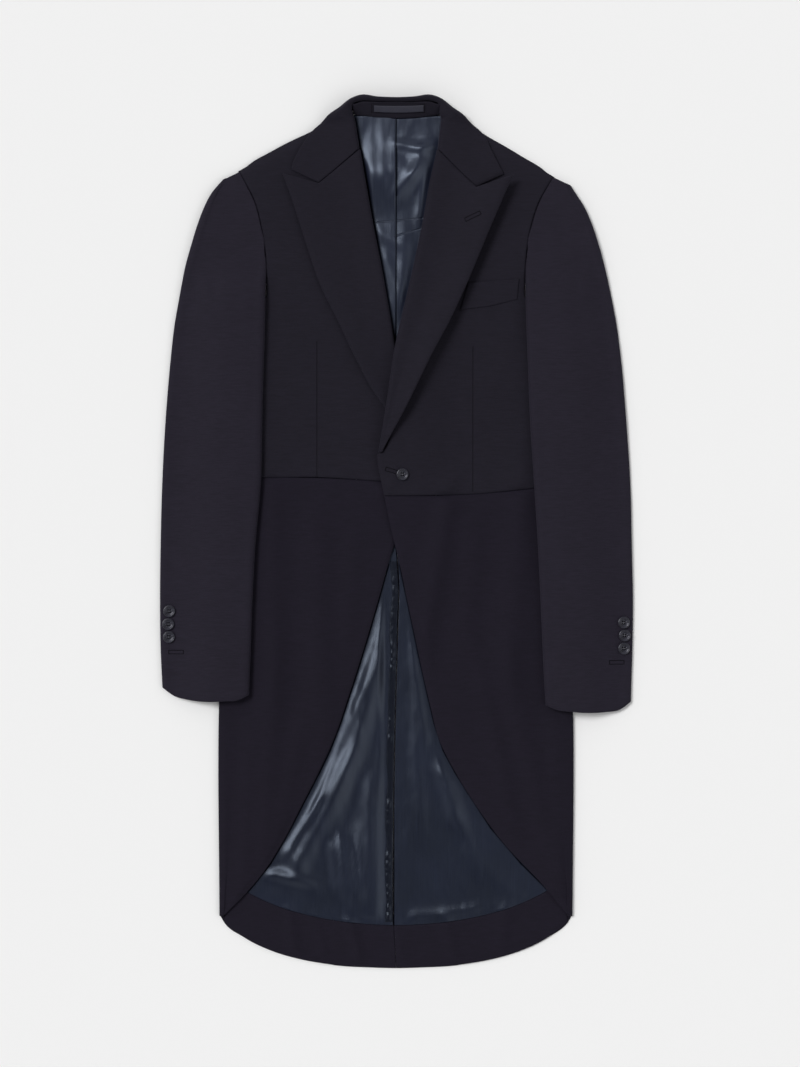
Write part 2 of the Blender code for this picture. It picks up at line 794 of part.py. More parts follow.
def collar_row(side, row, index):
    """Eleven middle points of the collar, from under the roll to the fall's free end."""
    half = COLLAR_WALL / 2
    roll = np.array(row[0:2])
    edge = np.array(row[2:4])
    under = np.array(row[4:6])
    width = np.linalg.norm(edge - roll)
    along = (edge - roll) / width
    if not row[7]:
        core = float(front_low(side, roll[0] + 5, min(roll[1], 492.0))) + FRONT_WALL / 2
        rest = float(over_front(side, roll[0] + 5, min(roll[1], 490.0), COLLAR_WALL))
        radius = (rest - core + 2.2 + row[6]) / 2
        near = 4.2
        d = np.array([6.0, half + 0.4, near - 1.6, near, 0.35 * width, 0.7 * width])
        d = np.append(d, width - np.array([6.0, 4.0, 2.7, 1.3, 0.0]))
        z = [core, core + radius * 0.75, core + 1.8 * radius, core + 2 * radius]
        plan = roll + along * d[:, None]
        for spot, distance in zip(plan[4:], d[4:]):
            y = min(spot[1], at(SHOULDER, spot[0], SIDE_COLUMN[side]) - 1.0)
            lie = float(over_front(side, spot[0], y, COLLAR_WALL))
            puff = (core + 2 * radius - rest) * (1 - ramp(distance, near, near + 34))
            z.append(lie + puff + 0.6)
        bend = 1 - index / 3
        if bend > 0:
            notch = np.array(GORGE[side]["notch"]) + np.array([0.1, 0.6])
            plan = plan + bend * notch_bend((roll, edge), notch, d / width)
        return np.column_stack([plan, z])
    height = row[6]
    face = edge - along * half
    d = np.array([half + 0.6, half, half + 0.6, 0.4 * width, 0.68 * width])
    plan = list(roll + along * d[:, None])
    z = [height - 2.6, height, height + 1.8, height + 3.0, height + 2.6]
    plan.append(face - along * 0.5)
    z.append(mix(height + 2.2, 3.0, 0.25))
    plan.append(face)
    z.append(mix(height, 3.0, 0.6))
    plan.append(face - along * 0.3)
    z.append(3.4)
    plan.append(face - along * 2.2)
    z.append(half + 0.1)
    for share in (0.5, 1.0):
        plan.append(mix(face, under, share))
        z.append(half)
    return np.column_stack([np.array(plan), z])


def collar_rows():
    """Rows from the right front round the neck to the left front, as (x, y, z)."""
    rows = []
    for side in ("right", "left"):
        table = COLLAR[side] + COLLAR_NECK
        half = [collar_row(side, row, index) for index, row in enumerate(table)]
        half = [points * np.array([SIGN[side], 1.0, 1.0]) for points in half]
        rows.append(half)
    right, left = rows
    return np.array(right + left[-2::-1])


def make_collar_leaf():
    rows = collar_rows()
    add_wall("collar_leaf", "left", rows, np.full(rows.shape[:2], COLLAR_WALL))


def stand_points(out, share):
    """Middle of the stand: share 0 at the neck seam, 1 at the fold."""
    foot = at(STAND_FOOT, out)
    head = mix(518.6, 516.4, ramp(np.abs(out), 25, 50))
    y = mix(foot, head, share)
    z = mix(2.9, 12.6, share) + 0.5 * np.sin(np.pi * share)
    return np.stack([out, y, z], axis=-1)


def make_collar_stand():
    outs = np.linspace(-49.0, 51.5, 11)
    rows = np.array([stand_points(outs, np.full(11, s)) for s in (0, 0.33, 0.66, 1)])
    add_wall("collar_stand", "left", rows, np.full(rows.shape[:2], 1.8))


def make_hanger_loop():
    outs = np.linspace(*LOOP_BOX["out"], 7)
    rows = np.array([stand_points(outs, np.full(7, s)) for s in np.linspace(*LOOP_BOX["share"], 3)])
    lift = 0.9 + LOOP_BOX["lift"] + LOOP_BOX["thick"] / 2
    normal = grid_normals(rows)
    normal = normal * np.sign(normal[..., 2:3])
    rows = rows + normal * lift
    add_wall("hanger_loop", "left", rows, np.full(rows.shape[:2], LOOP_BOX["thick"]))


# Lining and what lies on the panels


def make_neck_lining(side):
    column = SIDE_COLUMN[side]
    ys = (205.0, 235.0, 270.0, 305.0, 340.0, 375.0, 410.0, 440.0, 462.0, 480.0, 499.0)
    inner = []
    outer = []
    for y in ys:
        inner.append((0.4 if side == "right" else -7.0, y))
        reach = min(at(ROLL_LINE, y, column) + 18.0, 56.0 if y > 470 else 66.0)
        outer.append((max(reach, 14.0), y))
    plan = plan_between(inner, outer, (0, 0.16, 0.36, 0.58, 0.8, 1))
    plan[-1, :, 1] += 4.0 * ramp(plan[-1, :, 0], 25, 42)
    if side == "right":
        for row in plan:
            row[1:, 0] = (3.8, 7.2, 9.0, mix(9.0, row[-1, 0], 0.5), row[-1, 0])

    def low(out, y):
        lap = (LINING_WALL + 0.3) * (1 - ramp(out, 7.2, 9.0)) if side == "right" else 0.0
        return back_high(out) + 0.3 + lap

    add_sheet(f"lining_neck_{side}", side, plan, low, lambda out, y: low(out, y) + LINING_WALL)


def tail_folds(side, out, y):
    """Soft folds of the tail lining where nothing lies over it."""
    open_cloth = ramp(at(FRONT_EDGE, y, SIDE_COLUMN[side]) - out, 4, 30) * ramp(-y, 90, 170)
    open_cloth = open_cloth * ramp(y - at(HEM_TOP, out), 4, 40) * ramp(out, 18, 34)
    wave = 0.5 + 0.5 * np.sin((out + 0.25 * y) / 11.0)
    return 1.6 * open_cloth * wave


def make_tail_lining(side):
    column = SIDE_COLUMN[side]
    ys = (-5.0, -60.0, -110.0, -160.0, -210.0, -260.0, -310.0, -355.0, -395.0, -425.0, -450.0)
    inner = []
    outer = []
    for y in ys:
        line = at(VENT_LINE, y)
        inner.append((-SIGN_OF_VENT[side] * line + 0.5, y))
        outer.append((min(at(FRONT_EDGE, y, column) + 22.0, 205.0), y))
    plan = plan_between(inner, outer, (0, 0.14, 0.28, 0.42, 0.56, 0.7, 0.85, 1))
    foot = at(HEM_TOP, plan[-1, :, 0]) + SEAM
    plan[-1, :, 1] = foot
    plan[-2, :, 1] = np.maximum(plan[-2, :, 1], foot + 14)

    def low(out, y):
        return back_high(out) + 0.3

    def high(out, y):
        return low(out, y) + LINING_WALL + tail_folds(side, out, y)

    add_sheet(f"lining_tail_{side}", side, plan, low, high)


def make_hem_facing(side):
    shares = np.linspace(0, 1, 12)
    plan = []
    for across in (0.0, 0.5, 1.0):
        row = []
        for share in shares:
            low_out = mix(back_centre(side, -529.0), 208.5, share)
            high_out = mix(back_centre(side, -478.0), 203.0, share)
            lower = (low_out, at(HEM, low_out) + 0.7)
            upper = (high_out, at(HEM_TOP, high_out))
            row.append((mix(lower[0], upper[0], across), mix(lower[1], upper[1], across)))
        plan.append(row)

    def low(out, y):
        return back_high(out) + 0.3

    add_sheet(f"hem_facing_{side}", side, np.array(plan), low, lambda out, y: low(out, y) + FACING_WALL)


def make_vent_strip():
    ys = np.linspace(-62, -474, 22)
    line = -at(VENT_LINE, ys)
    rows = np.stack(
        [np.stack([line + 1.2 + reach, ys], axis=1) for reach in (0.0, 3.6, 7.4, 11.0)], axis=1
    )

    def low(out, y):
        return back_high(out) + 0.3 + LINING_WALL + 0.35 + 0 * y

    add_sheet("vent_strip", "right", rows, low, lambda out, y: low(out, y) + 0.9)


def make_breast_welt():
    columns = np.linspace(0, 1, 6)
    lower = np.array(WELT_LOWER, float)
    upper = np.array(WELT_UPPER, float)
    plan = []
    for share in (0, 0.5, 1):
        row = []
        for c in columns:
            low_point = [np.interp(c * 2, (0, 1, 2), lower[:, k]) for k in (0, 1)]
            high_point = [np.interp(c * 2, (0, 1, 2), upper[:, k]) for k in (0, 1)]
            row.append([mix(low_point[k], high_point[k], share) for k in (0, 1)])
        plan.append(row)

    def low(out, y):
        return front_high("left", out, y) + 0.55

    add_sheet("breast_welt", "left", np.array(plan), low, lambda out, y: low(out, y) + 0.8)


# Buttons


def button_mesh():
    """A dished button with four holes, its underside at z 0, in metres."""
    radius = BUTTON_ACROSS / 2
    profile = (
        (radius - 1.4, 0.0),
        (radius - 0.3, 0.5),
        (radius, 1.4),
        (radius - 0.5, BUTTON_THICK - 0.2),
        (radius - 1.4, BUTTON_THICK),
        (radius - 2.6, BUTTON_THICK - 0.9),
    )
    sides = 16
    points = []
    for r, z in profile:
        for k in range(sides):
            turn = 2 * np.pi * k / sides
            points.append((r * np.cos(turn), r * np.sin(turn), z))
    faces = [tuple(reversed(range(sides)))]
    for ring in range(len(profile) - 1):
        for k in range(sides):
            a = ring * sides + k
            b = ring * sides + (k + 1) % sides
            faces.append((a, b, b + sides, a + sides))
    faces.append(tuple(range((len(profile) - 1) * sides, len(profile) * sides)))
    body = add_mesh("button_body", np.array(points), faces)
    holes = []
    faces = []
    for x in (-1.5, 1.5):
        for y in (-1.5, 1.5):
            base = len(holes)
            for z in (-1.0, 4.0):
                for k in range(6):
                    turn = 2 * np.pi * k / 6
                    holes.append((x + 0.75 * np.cos(turn), y + 0.75 * np.sin(turn), z))
            faces.append(tuple(base + k for k in reversed(range(6))))
            faces.append(tuple(base + 6 + k for k in range(6)))
            for k in range(6):
                n = (k + 1) % 6
                faces.append((base + k, base + n, base + 6 + n, base + 6 + k))
    drill = add_mesh("button_holes", np.array(holes), faces)
    drill.hide_render = True
    cut = body.modifiers.new("holes", "BOOLEAN")
    cut.operation = "DIFFERENCE"
    cut.solver = "EXACT"
    cut.object = drill
    bpy.context.view_layer.update()
    graph = bpy.context.evaluated_depsgraph_get()
    made = bpy.data.meshes.new_from_object(body.evaluated_get(graph))
    bpy.data.objects.remove(body)
    bpy.data.objects.remove(drill)
    return made


def place_button(name, mesh, centre, normal):
    """Sets a button on a surface point, tilted to its normal."""
    button = bpy.data.objects.new(name, mesh)
    bpy.context.scene.collection.objects.link(button)
    up = np.asarray(normal, float)
    up = up / np.linalg.norm(up)
    side = np.cross((0.0, 1.0, 0.0), up)
    side = side / np.linalg.norm(side)
    ahead = np.cross(up, side)
    turned = zip(side, ahead, up, np.asarray(centre, float) * MM)
    button.matrix_world = Matrix([tuple(row) for row in turned] + [(0, 0, 0, 1)])


def seat_on(height, out, y, reach):
    """Centre height and normal that set a flat disc clear on a curved surface."""
    step = reach * 0.7
    slope_out = (height(out + step, y) - height(out - step, y)) / (2 * step)
    slope_y = (height(out, y + step) - height(out, y - step)) / (2 * step)
    clear = 0.0
    for turn in np.linspace(0, 2 * np.pi, 12, endpoint=False):
        for part in (0.0, 0.5, 0.85):
            a = part * reach * np.cos(turn)
            b = part * reach * np.sin(turn)
            plane = slope_out * a + slope_y * b
            clear = max(clear, height(out + a, y + b) - height(out, y) - plane)
    return height(out, y) + clear + 0.3, (-slope_out, -slope_y, 1.0)


def make_buttons():
    mesh = button_mesh()
    counts = {"right": 0, "left": 0}
    for side, out, y in CUFF_BUTTONS:
        counts[side] += 1

        def height(o, line):
            inner, _, width = sleeve_frame(side, float(line))
            return float(sleeve_high(side, o, line, (o - inner[0]) / width))

        z, normal = seat_on(height, out, y, BUTTON_ACROSS / 2)
        sign = SIGN[side]
        name = f"cuff_button_{side}_{counts[side]}"
        place_button(name, mesh, (sign * out, y, z), (sign * normal[0], normal[1], normal[2]))
    z, normal = seat_on(
        lambda o, line: float(front_high("left", o, line)), *FRONT_BUTTON, BUTTON_ACROSS / 2
    )
    place_button("front_button", mesh, (*FRONT_BUTTON, z), normal)


def main():
    for old in list(bpy.data.objects):
        bpy.data.objects.remove(old)
    for side in ("right", "left"):
        make_back(side)
        make_side_body(side)
        make_forepart(side)
        make_skirt(side)
        make_topsleeve(side)
        make_undersleeve(side)
        make_lapel(side)
        make_neck_lining(side)
        make_tail_lining(side)
        make_hem_facing(side)
    make_collar_leaf()
    make_collar_stand()
    make_hanger_loop()
    make_vent_strip()
    make_breast_welt()
    make_buttons()


main()
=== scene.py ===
"""Looks of the morning coat laid flat: cloth shells, lining folds, stitches, floor and light.

Sizes are millimetres and are drawn in metres. "out" is the distance outward from the
centre line towards a piece's own side; y runs from the hem at -530 to the collar at +530.
Sides are the wearer's: right lies at negative x and left at positive x.
"""

import bpy
import numpy as np
from mathutils import Matrix, Vector


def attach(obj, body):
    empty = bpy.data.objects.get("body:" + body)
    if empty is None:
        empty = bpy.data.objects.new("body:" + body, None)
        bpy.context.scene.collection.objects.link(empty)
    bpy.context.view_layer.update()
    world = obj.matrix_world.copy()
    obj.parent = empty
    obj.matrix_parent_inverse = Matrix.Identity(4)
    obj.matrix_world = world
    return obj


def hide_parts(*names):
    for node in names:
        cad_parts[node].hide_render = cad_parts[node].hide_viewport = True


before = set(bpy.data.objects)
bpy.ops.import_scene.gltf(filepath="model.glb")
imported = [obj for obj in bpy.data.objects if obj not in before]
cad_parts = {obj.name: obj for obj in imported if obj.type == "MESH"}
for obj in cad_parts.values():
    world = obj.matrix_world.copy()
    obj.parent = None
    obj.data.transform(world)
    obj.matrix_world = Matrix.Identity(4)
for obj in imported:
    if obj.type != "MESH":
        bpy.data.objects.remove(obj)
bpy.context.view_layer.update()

MM = 0.001
SIGN = {"right": -1.0, "left": 1.0}
SIDE_COLUMN = {"right": 1, "left": 2}
SIGN_OF_VENT = {"right": 1.0, "left": -1.0}

# Cloth walls and the gaps at their seams
BACK_WALL = 1.5
SKIRT_WALL = 2.4
FRONT_WALL = 3.0
SLEEVE_WALL = 2.2
LAPEL_WALL = 2.2
COLLAR_WALL = 2.0
STAND_WALL = 1.8
LINING_WALL = 0.6
FACING_WALL = 0.8
SEAM = 0.35
HIDDEN_SEAM = 1.3
WAIST_SEAM = 1.2 * SEAM
# Room between the layers, padding of the foreparts and depth of the sleeves
REST_GAP = 0.3
LAYER_GAP = 0.4
BODY_ROOM = 1.2
CHEST_PAD = 1.3
SHOULDER_PAD = 2.6
SLEEVE_DEPTH = 5.2
SLEEVE_REST = 0.7
# Soft rise of the sleeve's upper layer above its folds
SLEEVE_PUFF = 5.5

# Where the two neck linings lap at the centre
NECK_LAP = {"right": 0.4, "left": -7.0}
# How far each lapel's free edge stands off the chest
EDGE_RISE = {"right": 2.4, "left": 12.0}

# Where the pieces end, as y, as outward distance or as reach under the coat
HIP_Y = 285.0
ARMHOLE_Y = 300.0
UNDER_WAIST_Y = 60.0
UNDER_HEM_Y = -527.0
CUFF_Y = -200.0
GORGE_Y = 464.2
SIDE_SEAM_OUT = 194.0
ARM_HOOK = 28.0
HIND_HOOK = 34.0
LAPEL_FOOT_Y = 95.0
CORNER_Y = -466.5

# Buttons. The profile's columns: distance in from the rim, height
BUTTON_ACROSS = 14.6
BUTTON_PROFILE = (
    (1.6, 0.0),
    (0.7, 0.2),
    (0.15, 0.8),
    (0.0, 1.4),
    (0.1, 1.9),
    (0.5, 2.35),
    (1.1, 2.6),
    (1.7, 2.5),
    (2.2, 2.0),
    (2.6, 1.65),
    (3.2, 1.55),
)
# The four holes: distance off both middle lines, and a drill as rows of radius and height
HOLE_OFF = 1.5
DRILL = ((0.72, -1.0), (0.72, 4.0))
# Thread across the holes
BAR_RADIUS = 0.42

# Columns: y, then the outward distance on the right and on the left side
ROLL_LINE = (
    (88, -21.9, -22.5),
    (160, -9.7, -11.0),
    (229, 1.3, -0.4),
    (253, 5.4, 4.9),
    (315, 16.1, 19.4),
    (375, 27.8, 32.1),
    (430, 37.4, 42.0),
    (465, 43.3, 49.8),
    (500, 49.0, 54.0),
)
LAPEL_EDGE = (
    (88, -21.9, -21.8),
    (117, -4.9, -6.1),
    (150, 13.5, 12.0),
    (172, 28.7, 22.8),
    (214, 51.0, 43.3),
    (256, 70.7, 65.6),
    (296, 90.6, 84.0),
    (338, 105.5, 101.8),
    (368, 115.0, 114.2),
    (400, 125.3, 128.0),
    (434, 137.3, 142.6),
)
FRONT_EDGE = (
    (-467.5, 212.5, 214.5),
    (-455, 194.0, 203.4),
    (-433, 176.0, 182.0),
    (-403, 151.8, 151.7),
    (-369, 132.5, 122.0),
    (-318, 105.9, 87.7),
    (-266, 79.9, 57.5),
    (-200, 56.5, 38.8),
    (-125, 33.0, 22.4),
    (-66, 16.1, 9.8),
    (-40, 8.8, 4.5),
    (-14, 1.4, -2.0),
    (6.5, -6.1, -6.9),
    (26, -12.2, -12.6),
    (43, -14.6, -14.2),
    (60, -17.0, -16.5),
    (88, -21.9, -22.5),
)
# Columns: outward distance, then y on the right and on the left side
WAIST = (
    (-24, 58.3, 43.0),
    (17.5, 60.6, 43.2),
    (41, 62.2, 43.4),
    (93, 65.5, 45.1),
    (155, 65.1, 50.8),
    (216, 66.2, 57.7),
)
SHOULDER = (
    (48, 531.0, 531.0),
    (72, 512.0, 512.0),
    (100, 490.8, 489.8),
    (120, 479.3, 476.0),
    (140, 468.3, 463.9),
    (160, 457.4, 451.9),
    (190, 440.4, 433.9),
    (205, 431.3, 424.2),
)
# Columns: y, inner and outer fold of the right sleeve, inner and outer fold of the left
SLEEVE = (
    (-215, 178.3, 283.2, 182.2, 285.0),
    (-200, 178.0, 283.6, 181.5, 285.3),
    (-165, 176.8, 285.2, 179.0, 286.2),
    (-120, 175.0, 286.2, 177.0, 287.9),
    (-60, 173.2, 286.5, 174.0, 287.2),
    (0, 169.0, 285.4, 171.2, 286.0),
    (54, 164.0, 284.0, 167.7, 284.8),
    (110, 162.6, 281.5, 163.5, 281.2),
    (177, 161.0, 276.4, 161.1, 276.4),
    (250, 158.8, 269.0, 158.0, 268.0),
    (290, 158.0, 262.0, 157.0, 260.5),
    (325, 157.6, 255.0, 157.7, 252.5),
    (355, 160.8, 246.3, 161.0, 244.0),
    (380, 166.0, 238.4, 166.8, 235.0),
    (400, 171.5, 229.7, 174.0, 225.0),
    (415, 178.5, 220.5, 181.7, 214.5),
    (431, 187.5, 204.8, 191.3, 204.1),
    (438, 190.5, 196.0, 194.5, 196.5),
)
SLEEVE_TOP = {"right": 437.0, "left": 430.5}
# Columns: share of the way across the cuff, y on the right and on the left side
CUFF = (
    (0.0, -197.4, -210.2),
    (0.06, -201.4, -213.5),
    (0.33, -205.9, -218.6),
    (0.66, -204.7, -219.2),
    (0.9, -197.4, -214.5),
    (1.0, -189.0, -206.0),
)
# Columns: y, outward distance
BODY_SIDE = (
    (-467, 214.6),
    (-210, 215.1),
    (-80, 210.0),
    (0, 206.0),
    (60, 205.0),
    (140, 209.0),
    (200, 214.0),
    (290, 214.0),
)
BACK_SEAM = (
    (-527, 76.0),
    (-420, 75.0),
    (-250, 70.0),
    (-80, 60.0),
    (0, 52.0),
    (60, 48.0),
    (120, 58.0),
    (180, 82.0),
    (230, 112.0),
    (270, 140.0),
    (300, 156.0),
)
VENT_LINE = (
    (-530, 0.4),
    (-478, -2.7),
    (-330, -2.7),
    (-244, -1.3),
    (-137, 1.6),
    (-43, 2.6),
    (-20, 0.0),
    (60, 0.0),
    (510, 0.0),
)
# Columns: outward distance, y
HEM = (
    (-40, -529.2),
    (0, -530.3),
    (35, -529.3),
    (64, -527.9),
    (100, -523.1),
    (136, -514.6),
    (168, -502.4),
    (189, -490.3),
    (205, -478.1),
    (214.6, -467.0),
)
HEM_TOP = (
    (-20, -478.0),
    (0, -478.5),
    (30, -477.3),
    (70, -473.2),
    (113, -464.7),
    (150, -452.8),
    (181, -438.0),
    (196, -429.5),
    (210, -420.0),
)
# Columns: y, height of the left front where it laps over the right one
LAP = ((-80, 0.0), (-20, 3.5), (20, 3.8), (60, 5.4), (95, 6.6), (235, 6.6), (290, 0.0), (330, 0.0))
# Peak and notch, as outward distance and y
GORGE = {
    "right": {"notch": (93.6, 422.2), "peak": (137.3, 433.8)},
    "left": {"notch": (97.0, 417.2), "peak": (142.6, 431.4)},
}
# Share of the way along the collar's end, and its column, where the notch lies
NOTCH_SHARE = 0.642
NOTCH_COLUMN = 5
# Columns: roll out and y, edge out and y, under end out and y, height of the roll, wrap
COLLAR = {
    "right": (
        (43.6, 465.4, 127.1, 438.6, 127.1, 438.6, 0.0, 0),
        (44.9, 474.0, 123.9, 449.8, 123.9, 449.8, 0.3, 0),
        (46.3, 483.0, 116.0, 465.0, 116.0, 465.0, 0.7, 0),
        (47.8, 492.0, 107.0, 478.5, 107.0, 478.5, 1.3, 0),
        (49.3, 500.0, 98.5, 488.6, 98.5, 488.6, 2.0, 0),
    ),
    "left": (
        (50.1, 464.8, 130.4, 433.4, 130.4, 433.4, 0.0, 0),
        (51.0, 474.0, 123.2, 448.0, 123.2, 448.0, 0.3, 0),
        (52.0, 483.0, 115.4, 463.4, 115.4, 463.4, 0.7, 0),
        (53.3, 492.0, 108.0, 478.5, 108.0, 478.5, 1.3, 0),
        (54.0, 500.0, 99.5, 488.0, 99.5, 488.0, 2.0, 0),
    ),
}
COLLAR_NECK = (
    (52.6, 508.0, 84.0, 502.8, 79.0, 498.0, 12.2, 1),
    (52.9, 514.0, 69.5, 513.4, 63.5, 507.5, 13.0, 1),
    (50.5, 519.2, 56.0, 524.6, 50.0, 512.5, 13.8, 1),
    (42.0, 521.6, 43.5, 529.4, 40.0, 511.0, 14.2, 1),
    (22.0, 520.9, 22.5, 527.4, 21.0, 509.0, 14.4, 1),
    (0.0, 520.5, 0.0, 526.5, 0.0, 508.0, 14.4, 1),
)
# Columns: outward distance, lower y of the stand
STAND_FOOT = ((-52.0, 506.5), (-24.0, 503.2), (0.0, 502.0), (27.0, 503.2), (56.0, 506.6))
# Stations along the armhole and the back seam, shared by the pieces that meet there
ARMHOLE_STATIONS = (ARMHOLE_Y, 322.0, 345.0, 370.0, 398.0, 419.0)
ARM_STATIONS = (CUFF_Y, -180.0, -150.0, -90.0, -20.0, 60.0, 140.0, 205.0, 250.0, 285.0)
BACK_STATIONS = (92.0, 120.0, 150.0, 180.0, 210.0, 240.0, 265.0, HIP_Y)
TAIL_STATIONS = 13
# Columns: y on the forepart's inner edge, y on its outer edge
FRONT_ROWS = (
    (88.0, 92.0),
    (LAPEL_FOOT_Y - 1.6, 100.0),
    (LAPEL_FOOT_Y + 1.4, 105.0),
    (130.0, 140.0),
    (175.0, 180.0),
    (215.0, 215.0),
    (252.0, 240.0),
    (290.0, 258.0),
    (322.0, 284.0),
    (348.0, 300.0),
    (372.0, 322.0),
    (398.0, 345.0),
    (424.0, 370.0),
    (450.0, 398.0),
    (472.0, 419.0),
)
NECK_STATIONS = (205.0, 235.0, 270.0, 305.0, 340.0, 375.0, 410.0, 440.0, 462.0, 480.0, 499.0)
LINING_STATIONS = (-5.0, -60.0, -110.0, -160.0, -210.0, -260.0, -310.0, -355.0, -395.0, -425.0, -450.0)
# Shares of the way from a lapel's roll to its free edge, closest where the notch bends it
LEAF_SHARES = np.array([0, 0.05, 0.12, 0.22, 0.35, 0.47, 0.57, 0.592, 0.614, 0.7, 0.8, 0.9, 1])
EDGE_STATIONS = (-40, -66, -95, -125, -160, -200, -233, -266, -292, -318, -360, -403, -433, -460)

# Columns: side, then outward distance and y of the button's centre
CUFF_BUTTONS = (
    ("right", 275.0, -96.6),
    ("right", 276.3, -112.2),
    ("right", 275.4, -127.9),
    ("left", 276.4, -110.4),
    ("left", 277.4, -126.1),
    ("left", 276.6, -141.9),
)
FRONT_BUTTON = (7.8, 69.4)
# Columns: node it is worked in, then its two ends (x, y)
BUTTONHOLES = {
    "lapel": ("lapel_left", (83.8, 377.3), (102.1, 385.8)),
    "front": ("forepart_left", (-12.6, 76.0), (2.0, 71.6)),
    "cuff_right": ("topsleeve_right", (-275.8, -146.2), (-257.6, -146.2)),
    "cuff_left": ("topsleeve_left", (258.8, -158.6), (276.7, -158.6)),
}
BUTTONHOLE_GAP = 4.4
THREAD_SIDES = 6
# Columns: piece, width, length and area of the cut that shows, in metres, then how and on what it lies
CUTS = (
    ("back_SIDE", 0.197, 1.040, 0.093, "laid", ""),
    ("side_body_SIDE", 0.173, 0.229, 0.031, "folded", ""),
    ("skirt_SIDE", 0.375, 0.592, 0.160, "folded", "back_SIDE"),
    ("forepart_SIDE", 0.219, 0.450, 0.069, "laid", "back_SIDE side_body_SIDE"),
    ("topsleeve_SIDE", 0.205, 0.650, 0.110, "folded", "forepart_SIDE skirt_SIDE"),
    ("undersleeve_SIDE", 0.067, 0.505, 0.0255, "laid", "forepart_SIDE skirt_SIDE"),
    ("lapel_SIDE", 0.164, 0.368, 0.0245, "folded", "forepart_SIDE"),
    ("collar_leaf", 0.270, 0.118, 0.0158, "folded", "forepart_right forepart_left collar_stand"),
    ("collar_stand", 0.107, 0.0222, 0.0021, "laid", "back_right back_left"),
    ("hanger_loop", 0.060, 0.010, 0.00052, "laid", "collar_stand"),
    ("lining_neck_SIDE", 0.073, 0.301, 0.0137, "laid", "back_SIDE"),
    ("lining_tail_SIDE", 0.208, 0.473, 0.0435, "laid", "back_SIDE"),
    ("hem_facing_SIDE", 0.211, 0.105, 0.0112, "laid", "back_SIDE"),
    ("vent_strip", 0.010, 0.438, 0.0034, "gathered", "lining_tail_right"),
    ("breast_welt", 0.072, 0.0373, 0.0019, "laid", "forepart_left"),
)
# The breast welt's gap above the chest and its lower and upper lines as (out, y), and the hanger loop's
# place on the stand
WELT_GAP = 0.55
WELT_LOWER = ((78.0, 269.0), (114.2, 273.6), (147.0, 281.5))
WELT_UPPER = ((88.0, 301.6), (119.0, 304.2), (149.4, 306.3))
LOOP_BOX = {"out": (-26.5, 33.4), "share": (0.38, 0.8), "lift": 0.4, "thick": 1.2}
# Waist darts, as points (x, y) of their two ends
DARTS = {
    "right": (((-95.5, 66), (-95.5, 230)),),
    "left": (((93.6, 49), (93.6, 224)),),
}
# Seams of the neck's yoke and the row of stitches round the hanger loop, as (x, y) ends
YOKE_SEAMS = (
    ((-22.9, 375.4), (32.4, 380.3)),
    ((-1.2, 358.6), (29.4, 367.6)),
)
LOOP_SEAMS = (
    ((-28.6, 508.4), (35.4, 508.4)),
    ((-28.6, 517.2), (35.4, 517.2)),
    ((-28.6, 508.4), (-28.6, 517.2)),
    ((35.4, 508.4), (35.4, 517.2)),
)
# Painted shadow lines in the satin, where it runs under an edge: two (x, y) ends and the reach
NECK_PAINTED_SHADOWS = (
    ((-49.8, 500.0), (-1.5, 229.0), 5.0),
    ((0.5, 503.0), (0.5, 464.0), 1.1),
    ((0.7, 464.0), (0.7, 408.0), 2.0),
    ((0.5, 408.0), (0.2, 225.0), 1.1),
)
# Colours, as linear red, green and blue
WOOL = (0.0107, 0.0093, 0.0158)
# Painted light: the body's wool painted lighter on the sleeves, for the light their nap catches
SLEEVE_WOOL_PAINTED_LIGHT = (0.0145, 0.0122, 0.0208)
# Painted shade: the body's wool painted darker on the skirts and hem facing
SKIRT_WOOL_PAINTED_SHADE = (0.0089, 0.0070, 0.0140)
SATIN = (0.0070, 0.0090, 0.0190)
# Painted light: the lining satin painted lighter at the neck than on the tails
SATIN_NECK_PAINTED_LIGHT = (0.0115, 0.0140, 0.0270)
SATIN_SHADE = (0.0026, 0.0031, 0.0075)
# Darkest and lightest share of the satin's colour, with painted shadow lines and without
PAINTED_SHADOW_SHADES = (0.1, 1.9)
SATIN_SHADES = (0.55, 1.45)
TAPE = (0.021, 0.021, 0.037)
HORN = (0.0155, 0.0156, 0.0235)
THREAD = (0.0032, 0.0028, 0.0044)
FLOOR_WHITE = (0.87, 0.87, 0.87, 1)
# Lamps: name, place, power, width in degrees
LAMPS = (
    ("key", (-2.2, 1.35, 3.3), 2.0, 24),
    ("fill", (2.6, -1.0, 3.0), 0.45, 50),
)
# Floor and camera, in metres
FLOOR_EDGE = 6.0
CAMERA_PLACE = (0.0049, -0.0024)
CAMERA_HEIGHT = 4.0
HALF_VIEW = 0.6482
